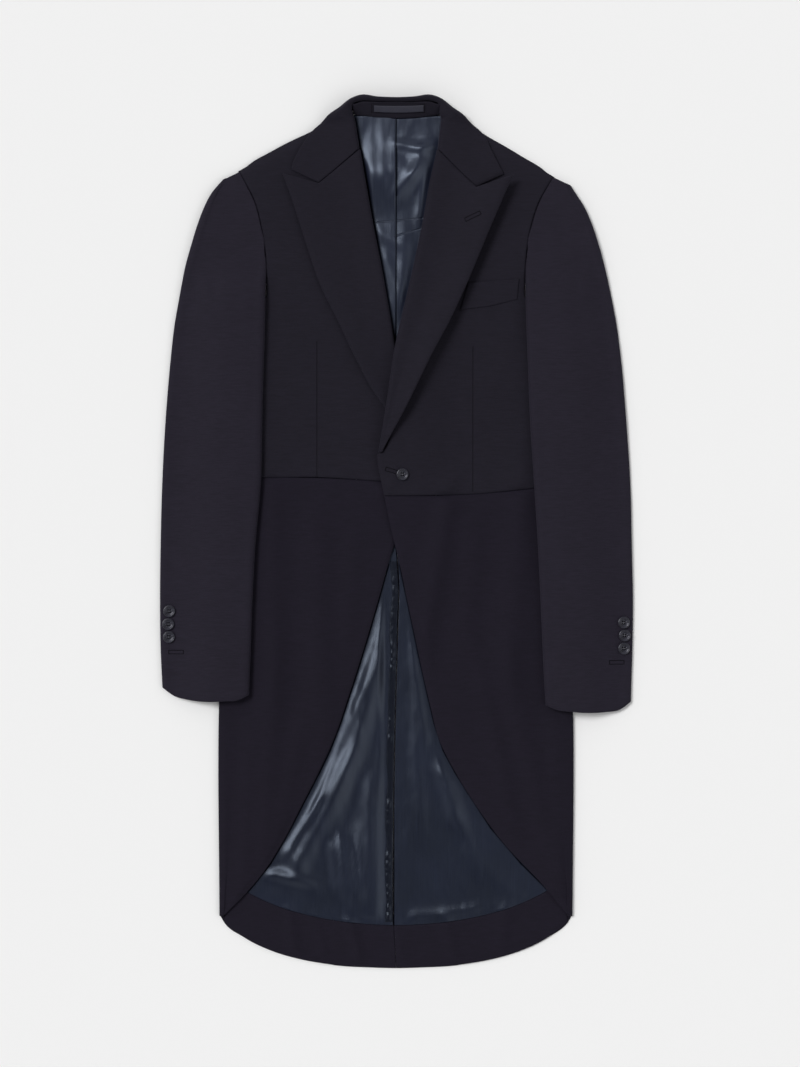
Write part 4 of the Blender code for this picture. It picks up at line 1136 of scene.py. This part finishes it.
def collar_row(side, row, index):
    """Middle points of the collar, from under the roll to the fall's free end."""
    roll, edge, under = np.array(row[:6]).reshape(3, 2)
    rise, wraps = row[6:]
    if wraps:
        return wrapped_row(roll, edge, under, rise)
    width = np.linalg.norm(edge - roll)
    core = float(front_low(side, roll[0] + 5, min(roll[1], 492.0))) + FRONT_WALL / 2
    rest = float(over_front(side, roll[0] + 5, min(roll[1], 490.0), COLLAR_WALL))
    radius = (rest - core + 2.2 + rise) / 2
    near = 4.2
    d = [6.0, COLLAR_WALL / 2 + 0.4, near - 1.6, near, 0.35 * width, NOTCH_SHARE * width]
    d = np.append(d, width - np.array([6.0, 4.0, 2.7, 1.3, 0.0]))
    z = [core, core + radius * 0.75, core + 1.8 * radius, core + 2 * radius]
    plan = roll + (edge - roll) / width * d[:, None]
    for spot, distance in zip(plan[4:], d[4:]):
        y = min(spot[1], at(SHOULDER, spot[0], SIDE_COLUMN[side]) - 1.0)
        lie = float(over_front(side, spot[0], y, COLLAR_WALL))
        puff = (core + 2 * radius - rest) * (1 - ramp(distance, near, near + 34))
        z.append(lie + puff + 0.6)
    bend = 1 - index / 3
    if bend > 0:
        notch = np.array(GORGE[side]["notch"]) + np.array([0.1, 0.6])
        plan = plan + bend * notch_bend((roll, edge), notch, d / width)
    return np.column_stack([plan, z])


def wrapped_row(roll, edge, under, height):
    """Middle points of the collar where its fall turns round the neck and lies underneath."""
    half = COLLAR_WALL / 2
    width = np.linalg.norm(edge - roll)
    along = (edge - roll) / width
    face = edge - along * half
    d = np.array([half + 0.6, half, half + 0.6, 0.4 * width, 0.68 * width])
    plan = list(roll + along * d[:, None])
    z = [height - 2.6, height, height + 1.8, height + 3.0, height + 2.6]
    plan += [face - along * 0.5, face, face - along * 0.3, face - along * 2.2]
    z += [mix(height + 2.2, 3.0, 0.25), mix(height, 3.0, 0.6), 3.4, half + 0.1]
    for share in (0.5, 1.0):
        plan.append(mix(face, under, share))
        z.append(half)
    return np.column_stack([np.array(plan), z])


def make_collar_leaf(cloth):
    halves = []
    for side in SIGN:
        table = COLLAR[side] + COLLAR_NECK
        half = [collar_row(side, row, index) for index, row in enumerate(table)]
        halves.append([points * np.array([SIGN[side], 1.0, 1.0]) for points in half])
    mid = refine(halves[0] + halves[1][-2::-1], 4, 3, corner=NOTCH_COLUMN)
    add_wall("collar_leaf", "left", mid, COLLAR_WALL, cloth)


def stand_points(out, share):
    """Middle of the stand: share 0 at the neck seam, 1 at the fold."""
    foot = at(STAND_FOOT, out)
    head = mix(519.7, 520.5, ramp(np.abs(out), 15, 36))
    head = mix(head, 517.2, ramp(np.abs(out), 40, 52))
    y = mix(foot, head, share)
    z = mix(2.9, 14.8, share) + 0.5 * np.sin(np.pi * share)
    return np.stack([out, y, z], axis=-1)


def stand_grid(outs, shares):
    return np.array([stand_points(outs, np.full(len(outs), share)) for share in shares])


def make_collar_stand(cloth):
    mid = stand_grid(np.linspace(-52.0, 54.0, 48), np.linspace(0, 1, 9))
    add_wall("collar_stand", "left", mid, STAND_WALL, cloth)


def make_hanger_loop(cloth):
    rows = stand_grid(np.linspace(*LOOP_BOX["out"], 40), np.linspace(*LOOP_BOX["share"], 7))
    lift = STAND_WALL / 2 + LOOP_BOX["lift"] + LOOP_BOX["thick"] / 2
    normal = grid_normals(rows)
    rows = rows + normal * np.sign(normal[..., 2:3]) * lift
    add_wall("hanger_loop", "left", rows, LOOP_BOX["thick"], cloth)


# Lining and what lies on the panels


def make_neck_lining(side, cloth):
    column = SIDE_COLUMN[side]
    inner = []
    outer = []
    for y in NECK_STATIONS:
        inner.append((NECK_LAP[side], y))
        reach = min(at(ROLL_LINE, y, column) + 18.0, 56.0 if y > 470 else 66.0)
        outer.append((max(reach, 14.0), y))
    plan = plan_between(inner, outer, (0, 0.16, 0.36, 0.58, 0.8, 1))
    plan[-1, :, 1] = np.minimum(at(STAND_FOOT, SIGN[side] * plan[-1, :, 0]) - 0.8, 505.0)
    if side == "right":
        for row in plan:
            row[1:, 0] = (3.8, 7.2, 9.0, mix(9.0, row[-1, 0], 0.5), row[-1, 0])
    plan = refine(plan, row_pitch=2.5, column_pitch=2.0)

    def lift(out, y):
        x = SIGN[side] * out
        free = ramp(at(ROLL_LINE, y, column) + 1.0 - out, 0, 9)
        return creases(NECK_FOLDS, x, y) * free

    def low(out, y):
        lap = 0.0
        if side == "right":
            lap = (LINING_WALL + 0.6) * (1 - ramp(out, 3, 34))
        rest = back_high(out) + REST_GAP + lap
        return np.maximum(rest + 0.5 * lift(out, y), back_high(out) + 0.2 + lap)

    def high(out, y):
        return low(out, y) + LINING_WALL + 0.5 * np.maximum(lift(out, y), 0)

    add_sheet(f"lining_neck_{side}", side, plan, low, high, cloth)


def hem_freedom(side, out, y):
    """1 where a fold of the hem may rise, 0 at the hem's edge and under the skirt."""
    return ramp(y - at(HEM, out), 0, 12) * ramp(at(FRONT_EDGE, y, SIDE_COLUMN[side]) - out, -4, 10)


def make_tail_lining(side, cloth):
    column = SIDE_COLUMN[side]
    inner = [(-SIGN_OF_VENT[side] * at(VENT_LINE, y) + 0.5, y) for y in LINING_STATIONS]
    outer = [(min(at(FRONT_EDGE, y, column) + 22.0, 205.0), y) for y in LINING_STATIONS]
    plan = plan_between(inner, outer, (0, 0.14, 0.28, 0.42, 0.56, 0.7, 0.85, 1))
    foot = at(HEM_TOP, plan[-1, :, 0]) + SEAM
    plan[-1, :, 1] = foot
    plan[-2, :, 1] = np.maximum(plan[-2, :, 1], foot + 14)
    plan = refine(plan, row_pitch=3, column_pitch=2.2)

    def lift(out, y):
        x = SIGN[side] * out
        free = ramp(at(FRONT_EDGE, y, column) - out, 0, 14) * ramp(out, 12, 22)
        above_hem = y - at(HEM_TOP, out)
        hem = creases(HEM_FOLDS, x, y) * hem_freedom(side, out, y)
        hem = hem * ramp(out, 12, 22) * (1 - ramp(above_hem, 0, 34))
        return creases(TAIL_FOLDS, x, y) * free * ramp(above_hem, 1, 14) + hem

    def low(out, y):
        return back_high(out) + REST_GAP + 0.6 * np.maximum(lift(out, y), 0)

    def high(out, y):
        return back_high(out) + REST_GAP + LINING_WALL + np.maximum(lift(out, y), -0.6)

    add_sheet(f"lining_tail_{side}", side, plan, low, high, cloth)


def make_hem_facing(side, cloth):
    shares = np.linspace(0, 1, 60)
    lower_out = mix(back_centre(side, -529.0), 208.5, shares)
    upper_out = mix(back_centre(side, -478.0), 203.0, shares)
    lower = np.column_stack([lower_out, at(HEM, lower_out) + 0.7])
    upper = np.column_stack([upper_out, at(HEM_TOP, upper_out)])
    plan = np.array([mix(lower, upper, across) for across in np.linspace(0, 1, 11)])

    def low(out, y):
        swell = creases(HEM_FOLDS, SIGN[side] * out, y) * hem_freedom(side, out, y)
        return back_high(out) + REST_GAP + swell

    add_sheet(f"hem_facing_{side}", side, plan, low, lambda out, y: low(out, y) + FACING_WALL, cloth)


def make_vent_strip(cloth):
    ys = np.linspace(-36, -474, 260)
    line = -at(VENT_LINE, ys)
    width = 7.6 + ripple(ys, 0 * ys, 21, 46, 2.2)
    columns = [np.stack([line + 1.2 + width * r, ys], axis=1) for r in np.linspace(0, 1, 9)]
    rows = np.stack(columns, axis=1)

    def low(out, y):
        return back_high(out) + REST_GAP + LINING_WALL + 0.35 + 0 * y

    def high(out, y):
        across = (out - 1.2 + at(VENT_LINE, y)) / 8.0
        gather = np.abs(ripple(0 * y, y, 22, 17, 2.4)) * ramp(ripple(0 * y, y, 23, 75, 3.0), -0.7, 0.9)
        return low(out, y) + 0.5 + gather * ramp(across, 0.1, 0.5) * (1 - ramp(across, 0.7, 1.0))

    add_sheet("vent_strip", "right", rows, low, high, cloth)


def make_breast_welt(cloth):
    lower, upper = (
        np.column_stack([np.interp(np.linspace(0, 2, 31), (0, 1, 2), axis) for axis in zip(*line)])
        for line in (WELT_LOWER, WELT_UPPER)
    )
    plan = np.array([mix(lower, upper, share) for share in np.linspace(0, 1, 13)])

    def low(out, y):
        return front_high("left", out, y) + WELT_GAP

    add_sheet("breast_welt", "left", plan, low, lambda out, y: low(out, y) + FACING_WALL, cloth)


# Buttons


def seat_on(height, out, y, reach):
    """Centre height and normal that set a flat disc clear on a curved surface."""
    step = reach * 0.7
    slope_out = (height(out + step, y) - height(out - step, y)) / (2 * step)
    slope_y = (height(out, y + step) - height(out, y - step)) / (2 * step)
    clear = 0.0
    for turn in np.linspace(0, 2 * np.pi, 12, endpoint=False):
        for part in (0.0, 0.5, 0.85):
            a = part * reach * np.cos(turn)
            b = part * reach * np.sin(turn)
            plane = slope_out * a + slope_y * b
            clear = max(clear, height(out + a, y + b) - height(out, y) - plane)
    return height(out, y) + clear + 0.3, (-slope_out, -slope_y, 1.0)


def disc_mesh(name, profile, sides):
    """A closed turned body from rows of radius and height, in millimetres."""
    turn = 2 * np.pi * np.arange(sides) / sides
    points = [(r * np.cos(a) * MM, r * np.sin(a) * MM, z * MM) for r, z in profile for a in turn]
    faces = [tuple(reversed(range(sides)))]
    for ring in range(len(profile) - 1):
        for k in range(sides):
            a = ring * sides + k
            b = ring * sides + (k + 1) % sides
            faces.append((a, b, b + sides, a + sides))
    faces.append(tuple(range((len(profile) - 1) * sides, len(profile) * sides)))
    return new_mesh(name, points, faces, smooth=False)


def button_mesh(material):
    profile = [(BUTTON_ACROSS / 2 - inset, height) for inset, height in BUTTON_PROFILE]
    body = add_object("button_body", disc_mesh("button_body", profile, 48))
    drills = []
    for x in (-HOLE_OFF, HOLE_OFF):
        for y in (-HOLE_OFF, HOLE_OFF):
            drill = add_object("drill", disc_mesh("drill", DRILL, 16))
            drill.location = (x * MM, y * MM, 0)
            cut = body.modifiers.new("hole", "BOOLEAN")
            cut.operation = "DIFFERENCE"
            cut.solver = "EXACT"
            cut.object = drill
            drills.append(drill)
    bpy.context.view_layer.update()
    graph = bpy.context.evaluated_depsgraph_get()
    made = bpy.data.meshes.new_from_object(body.evaluated_get(graph))
    for helper in [body] + drills:
        bpy.data.objects.remove(helper)
    made.materials.clear()
    made.materials.append(material)
    made.polygons.foreach_set("use_smooth", [True] * len(made.polygons))
    made.update()
    return made


def frame_on(centre, normal):
    up = np.asarray(normal, float)
    up = up / np.linalg.norm(up)
    side = np.cross((0.0, 1.0, 0.0), up)
    side = side / np.linalg.norm(side)
    ahead = np.cross(up, side)
    turned = zip(side, ahead, up, np.asarray(centre, float) * MM)
    return Matrix([tuple(row) for row in turned] + [(0, 0, 0, 1)])


def place_button(name, mesh, centre, normal):
    button = add_object("look_" + name, mesh)
    button.matrix_world = frame_on(centre, normal)
    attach(button, "root")
    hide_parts(name)


def top_of(node):
    """Height function of the cloth that stands for a node, seen from straight above."""
    cloth = bpy.data.objects["look_" + node]

    def height(x, y):
        hit, spot, _, _ = cloth.ray_cast(Vector((x, y, 90.0)) * MM, Vector((0, 0, -1)))
        return spot.z / MM if hit else 0.0

    return height


def tube(path, radii, closed):
    """Points and faces of a round thread along a path; the ends of an open one are capped."""
    count = len(path)
    if closed:
        ahead = np.roll(path, -1, axis=0) - np.roll(path, 1, axis=0)
    else:
        ahead = np.gradient(path, axis=0)
    aside = np.cross(ahead, (0.0, 0.0, 1.0))
    aside = aside / np.linalg.norm(aside, axis=1, keepdims=True)
    up = np.cross(aside, ahead)
    up = up / np.linalg.norm(up, axis=1, keepdims=True)
    points = []
    for k in range(count):
        for turn in np.linspace(0, 2 * np.pi, THREAD_SIDES, endpoint=False):
            points.append(path[k] + radii[k] * (aside[k] * np.cos(turn) + up[k] * np.sin(turn)))
    faces = []
    for k in range(count if closed else count - 1):
        for j in range(THREAD_SIDES):
            a = k * THREAD_SIDES + j
            b = k * THREAD_SIDES + (j + 1) % THREAD_SIDES
            c = (b + THREAD_SIDES) % (count * THREAD_SIDES)
            d = (a + THREAD_SIDES) % (count * THREAD_SIDES)
            faces.append((a, b, c, d))
    if not closed:
        faces.append(tuple(reversed(range(THREAD_SIDES))))
        faces.append(tuple(range((count - 1) * THREAD_SIDES, count * THREAD_SIDES)))
    return points, faces


def add_thread(name, tubes, material, matrix=None):
    points = []
    faces = []
    for some, sides in tubes:
        faces += [tuple(len(points) + k for k in face) for face in sides]
        points += [tuple(np.asarray(p) * MM) for p in some]
    made = add_object(name, new_mesh(name, points, faces, material))
    if matrix is not None:
        made.matrix_world = matrix
    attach(made, "root")
    return made


def make_buttonholes(material):
    """Worked buttonholes: two close rows of stitches with a bar at each end."""
    for name, (node, start, end) in BUTTONHOLES.items():
        start = np.array(start)
        end = np.array(end)
        length = np.linalg.norm(end - start)
        along = (end - start) / length
        aside = np.array([-along[1], along[0]]) * BUTTONHOLE_GAP / 2
        corners = [start - aside, end - aside, end + aside, start + aside, start - aside]
        plan = []
        for a, b in zip(corners, corners[1:]):
            steps = int(np.linalg.norm(b - a) / 0.35) + 1
            plan += [mix(a, b, k / steps) for k in range(steps)]
        height = top_of(node)
        path = np.array([(x, y, height(x, y) + 0.12) for x, y in plan])
        radii = 0.36 + 0.15 * np.sin(np.arange(len(path)) * 2 * np.pi / 3.0)
        add_thread("buttonhole_" + name, [tube(path, radii, True)], material)


def make_buttons(material, thread):
    mesh = button_mesh(material)
    counts = {"right": 0, "left": 0}
    places = []
    for side, out, y in CUFF_BUTTONS:
        counts[side] += 1
        places.append((f"cuff_button_{side}_{counts[side]}", f"topsleeve_{side}", SIGN[side] * out, y))
    places.append(("front_button", "forepart_left", *FRONT_BUTTON))
    arch = np.linspace(0, 1, 7)
    for name, node, x, y in places:
        z, normal = seat_on(top_of(node), x, y, BUTTON_ACROSS / 2)
        place_button(name, mesh, (x, y, z), normal)
        bars = []
        for across in (-HOLE_OFF, HOLE_OFF):
            rise = 0.6 + 1.5 * np.sin(np.pi * arch)
            path = np.column_stack([HOLE_OFF * (2 * arch - 1), 0 * arch + across, rise])
            bars.append(tube(path, np.full(7, BAR_RADIUS), False))
        add_thread("thread_" + name, bars, thread, frame_on((x, y, z), normal))


def declare_cloth():
    """Goes through each piece's cut and its side's name, and states nothing."""
    for stem, width, length, area, held, rests in CUTS:
        for side in SIGN:
            name = stem.replace("SIDE", side)
            if name == stem:
                break


# Materials


class Tree:
    """The nodes of one material, or of the world, with short ways to join them."""

    def __init__(self, owner):
        owner.use_nodes = True
        self.owner = owner
        self.nodes = owner.node_tree.nodes
        self.links = owner.node_tree.links

    def put(self, value, socket):
        """Links an output to a socket, or sets a plain value on it."""
        if isinstance(value, bpy.types.NodeSocket):
            self.links.new(value, socket)
        else:
            socket.default_value = value

    def placed(self, scale, turn=0.0):
        """The object's own coordinates in metres, turned about Z and stretched on each axis."""
        place = self.nodes.new("ShaderNodeTexCoord")
        mapping = self.nodes.new("ShaderNodeMapping")
        mapping.inputs["Rotation"].default_value = (0, 0, turn)
        mapping.inputs["Scale"].default_value = scale
        self.links.new(place.outputs["Object"], mapping.inputs["Vector"])
        return mapping.outputs["Vector"]

    def noise(self, scale, detail=3.0):
        """Uneven cloud from 0 to 1, with about scale lumps in a metre on each axis."""
        made = self.nodes.new("ShaderNodeTexNoise")
        made.inputs["Scale"].default_value = 1.0
        made.inputs["Detail"].default_value = detail
        self.links.new(self.placed(scale), made.inputs["Vector"])
        return made.outputs["Fac"]

    def stripes(self, pitch, slope):
        """Fine bands a pitch apart in metres, standing for threads that lie along a slope."""
        made = self.nodes.new("ShaderNodeTexWave")
        made.bands_direction = "X"
        for key, value in (("Scale", 1.0), ("Distortion", 0.6), ("Detail", 1.0)):
            made.inputs[key].default_value = value
        self.links.new(self.placed((0.314 / pitch,) * 3, slope), made.inputs["Vector"])
        return made.outputs["Fac"]

    def math(self, kind, first, second):
        made = self.nodes.new("ShaderNodeMath")
        made.operation = kind
        self.put(first, made.inputs[0])
        self.put(second, made.inputs[1])
        return made.outputs[0]

    def blend(self, *parts):
        """Sum of outputs, each with its weight."""
        total = self.math("MULTIPLY", *parts[0])
        for value, weight in parts[1:]:
            total = self.math("ADD", total, self.math("MULTIPLY", value, weight))
        return total

    def vector_math(self, kind, first, second):
        made = self.nodes.new("ShaderNodeVectorMath")
        made.operation = kind
        self.put(first, made.inputs[0])
        self.put(second, made.inputs["Scale"] if kind == "SCALE" else made.inputs[1])
        return made.outputs["Value" if kind in ("DOT_PRODUCT", "DISTANCE") else "Vector"]

    def spread(self, value, low, high, to_low, to_high):
        """The value's soft step from low to high, as a step between the last two numbers."""
        made = self.nodes.new("ShaderNodeMapRange")
        made.interpolation_type = "SMOOTHSTEP"
        made.inputs["From Min"].default_value = low
        made.inputs["From Max"].default_value = high
        made.inputs["To Min"].default_value = to_low
        made.inputs["To Max"].default_value = to_high
        self.links.new(value, made.inputs["Value"])
        return made.outputs["Result"]

    def near_line(self, start, end, reach):
        """1 on a straight seam in plan and 0 beyond its reach; the sizes are millimetres."""
        start = Vector((*start, 0)) * MM
        whole = Vector((*end, 0)) * MM - start
        away = self.vector_math("SUBTRACT", self.placed((1, 1, 0)), start)
        held = self.nodes.new("ShaderNodeClamp")
        held.inputs["Max"].default_value = whole.length
        self.put(self.vector_math("DOT_PRODUCT", away, whole.normalized()), held.inputs["Value"])
        foot = self.vector_math("SCALE", whole.normalized(), held.outputs["Result"])
        gap = self.vector_math("DISTANCE", away, foot)
        return self.spread(gap, 0.0, reach * MM, 1.0, 0.0)

    def bump(self, height, depth):
        made = self.nodes.new("ShaderNodeBump")
        made.inputs["Strength"].default_value = 1.0
        made.inputs["Distance"].default_value = depth
        self.links.new(height, made.inputs["Height"])
        self.links.new(made.outputs["Normal"], self.shader.inputs["Normal"])

    def shaded(self, colour, share, low, high):
        """The base colour, made darker and lighter by a share from 0 to 1."""
        made = self.nodes.new("ShaderNodeMix")
        made.data_type = "RGBA"
        made.inputs[6].default_value = (*(c * low for c in colour), 1)
        made.inputs[7].default_value = (*(c * high for c in colour), 1)
        self.links.new(share, made.inputs[0])
        self.links.new(made.outputs[2], self.shader.inputs["Base Color"])


def new_material(name, **settings):
    """A material's nodes, with each setting on the shader's own socket of that name."""
    tree = Tree(bpy.data.materials.new(name))
    tree.shader = tree.nodes["Principled BSDF"]
    for key, value in settings.items():
        socket = key.replace("_", " ").title().replace("Ior", "IOR")
        tree.shader.inputs[socket].default_value = value
    return tree


def wool_material(name, colour, seams=()):
    """Fine worsted: slubs along the weft, a twill and a short soft nap."""
    tree = new_material(
        name,
        roughness=0.8,
        specular_ior_level=0.13,
        sheen_weight=0.05,
        sheen_roughness=0.45,
        sheen_tint=(0.75, 0.72, 1.0, 1),
    )
    slub = tree.spread(tree.noise((80, 950, 80)), 0.25, 0.75, 0.0, 1.0)
    cloud = tree.noise((22, 22, 22), detail=1.0)
    twill = tree.stripes(pitch=0.0009, slope=0.9)
    share = tree.blend((slub, 0.6), (cloud, 0.25), (twill, 0.15))
    height = tree.blend((twill, 0.12), (slub, 0.08))
    for start, end in seams:
        groove = tree.near_line(start, end, 1.5)
        height = tree.math("SUBTRACT", height, groove)
        share = tree.math("SUBTRACT", share, tree.spread(groove, 0.25, 1.0, 0.0, 0.9))
    tree.shaded(colour, share, low=0.78, high=1.22)
    tree.bump(height, depth=0.0009)
    return tree.owner


def polyline(table, column, sign, ys):
    """Straight pieces of a table's line, as painted shadow lines in the satin beside it."""
    points = [(sign * float(at(table, y, column)), y) for y in ys]
    return tuple((a, b, 1.7) for a, b in zip(points, points[1:]))


def satin_material(name, colour, gloss, seams=(), painted_shadows=()):
    """Dark satin: a bright warp face with fine threads, and a colour that shifts a little."""
    tree = new_material(
        name,
        roughness=0.31,
        specular_ior_level=gloss,
        specular_tint=(0.7, 0.81, 1.0, 1),
    )
    streak = tree.noise((700, 18, 18), detail=4.0)
    thread = tree.stripes(pitch=0.0006, slope=0.0)
    cloud = tree.noise((14, 14, 14), detail=2.0)
    swell = tree.noise((60, 34, 34), detail=1.0)
    share = tree.blend((streak, 0.5), (cloud, 0.5))
    height = tree.blend((streak, 0.16), (thread, 0.08), (swell, 2.4))
    for start, end in seams:
        groove = tree.math("MULTIPLY", tree.near_line(start, end, 1.6), 2.0)
        height = tree.math("SUBTRACT", height, groove)
    # Painted shadow: along each line the colour is painted darker and the specular level is cut, where
    # the satin runs under an edge
    lit = 1.0
    for start, end, reach in painted_shadows:
        away = tree.math("SUBTRACT", 1.0, tree.near_line(start, end, reach))
        lit = tree.math("MULTIPLY", lit, away)
    if painted_shadows:
        share = tree.math("MULTIPLY", share, lit)
        tree.put(tree.math("MULTIPLY", lit, gloss), tree.shader.inputs["Specular IOR Level"])
    low, high = PAINTED_SHADOW_SHADES if painted_shadows else SATIN_SHADES
    tree.shaded(colour, share, low, high)
    tree.bump(height, depth=0.0004)
    return tree.owner


def loop_material():
    """Folded tape, with the ribs of its weave across it."""
    tree = new_material("hanger_tape", roughness=0.6)
    rib = tree.stripes(pitch=0.0012, slope=0.12)
    share = tree.blend((rib, 0.5), (tree.noise((160, 60, 160)), 0.5))
    tree.shaded(TAPE, share, low=0.55, high=1.45)
    tree.bump(rib, depth=0.0002)
    return tree.owner


def button_material():
    """Polished dark horn, with clouded growth lines and fine scratches."""
    tree = new_material("horn_button", roughness=0.3, specular_tint=(0.92, 0.92, 1.0, 1))
    share = tree.spread(tree.noise((120, 520, 120), detail=4.0), 0.3, 0.7, 0.0, 1.0)
    tree.shaded(HORN, share, low=0.5, high=1.5)
    tree.bump(tree.noise((900, 900, 900), detail=2.0), depth=0.00008)
    return tree.owner


def thread_material():
    """Twisted sewing silk, a shade darker than the wool."""
    tree = new_material("thread", roughness=0.8, specular_ior_level=0.08)
    ply = tree.noise((2600, 2600, 2600), detail=2.0)
    tree.shaded(THREAD, ply, low=0.5, high=1.5)
    tree.bump(ply, depth=0.0001)
    return tree.owner


# Floor, light and camera


def make_floor():
    corners = [(FLOOR_EDGE * x, FLOOR_EDGE * y, 0) for x, y in ((-1, -1), (1, -1), (1, 1), (-1, 1))]
    pale = new_material("pale_floor", base_color=FLOOR_WHITE, roughness=0.95, specular_ior_level=0.1)
    mesh = new_mesh("floor", corners, [(0, 1, 2, 3)], pale.owner, smooth=False)
    add_object("floor", mesh)


def add_light(name, place, power, width):
    """A wide soft light from a far place, which lights the whole floor alike."""
    lamp = bpy.data.lights.new(name, "SUN")
    lamp.energy = power
    lamp.angle = np.radians(width)
    made = add_object(name, lamp)
    made.location = place
    made.rotation_euler = (-Vector(place)).to_track_quat("-Z", "Y").to_euler()


def light_scene():
    world = bpy.data.worlds.new("studio")
    bpy.context.scene.world = world
    tree = Tree(world)
    height = tree.nodes.new("ShaderNodeSeparateXYZ")
    tree.put(tree.nodes.new("ShaderNodeTexCoord").outputs["Generated"], height.inputs[0])
    # The lamps stand round the table, so the air straight above it is the darkest
    glow = tree.spread(height.outputs["Z"], 0.5, 0.97, 0.67, 0.07)
    tree.put(glow, tree.nodes["Background"].inputs["Strength"])
    tree.nodes["Background"].inputs["Color"].default_value = (1, 1, 1, 1)
    for name, place, power, width in LAMPS:
        add_light(name, place, power, width)


def add_camera():
    lens = bpy.data.cameras.new("camera")
    made = add_object("camera", lens)
    made.location = (*CAMERA_PLACE, CAMERA_HEIGHT)
    lens.sensor_fit = "VERTICAL"
    lens.angle = 2 * np.arctan(HALF_VIEW / CAMERA_HEIGHT)
    lens.dof.use_dof = False
    bpy.context.scene.camera = made


def main():
    # Painted light and shadow: the neck's satin is painted lighter than the tails', with painted shadow
    # lines where it runs under an edge
    neck_satin_painted_light_and_shadow = satin_material("satin_neck_painted_light_and_shadow", SATIN_NECK_PAINTED_LIGHT, 0.6, YOKE_SEAMS, NECK_PAINTED_SHADOWS)
    # Painted shadow lines in the tail satin, along the vent and beside the front edges
    vent = polyline(VENT_LINE, 1, 1.0, (-500, -478, -330, -244, -137, -43, -10))
    satin = {}
    for side, column in SIDE_COLUMN.items():
        edge = polyline(FRONT_EDGE, column, SIGN[side], EDGE_STATIONS)
        satin[side] = satin_material("satin_tail_painted_shadow_" + side, SATIN, 0.5, (), vent + edge)
    vent_satin = satin_material("satin_vent", SATIN_SHADE, 0.34)
    # Painted light on the sleeves and painted shade on the skirts, as lighter and darker copies of the
    # body's wool
    sleeve_wool_painted_light = wool_material("wool_sleeve_painted_light", SLEEVE_WOOL_PAINTED_LIGHT)
    skirt_wool_painted_shade = wool_material("wool_skirt_painted_shade", SKIRT_WOOL_PAINTED_SHADE)
    wool = wool_material("wool_body", WOOL)
    front_wool = {s: wool_material("wool_front_" + s, WOOL, DARTS[s]) for s in SIGN}
    for side in SIGN:
        make_back(side, wool)
        make_side_body(side, wool)
        make_forepart(side, front_wool[side])
        make_skirt(side, skirt_wool_painted_shade)
        make_topsleeve(side, sleeve_wool_painted_light)
        make_undersleeve(side, sleeve_wool_painted_light)
        make_lapel(side, wool)
        make_neck_lining(side, neck_satin_painted_light_and_shadow)
        make_tail_lining(side, satin[side])
        make_hem_facing(side, skirt_wool_painted_shade)
    make_collar_leaf(wool)
    make_collar_stand(wool_material("wool_stand", WOOL, LOOP_SEAMS))
    make_hanger_loop(loop_material())
    make_vent_strip(vent_satin)
    make_breast_welt(wool)
    bpy.context.view_layer.update()
    thread = thread_material()
    make_buttonholes(thread)
    make_buttons(button_material(), thread)
    declare_cloth()
    make_floor()
    light_scene()
    add_camera()
    bpy.context.scene.view_settings.view_transform = "Standard"


main()
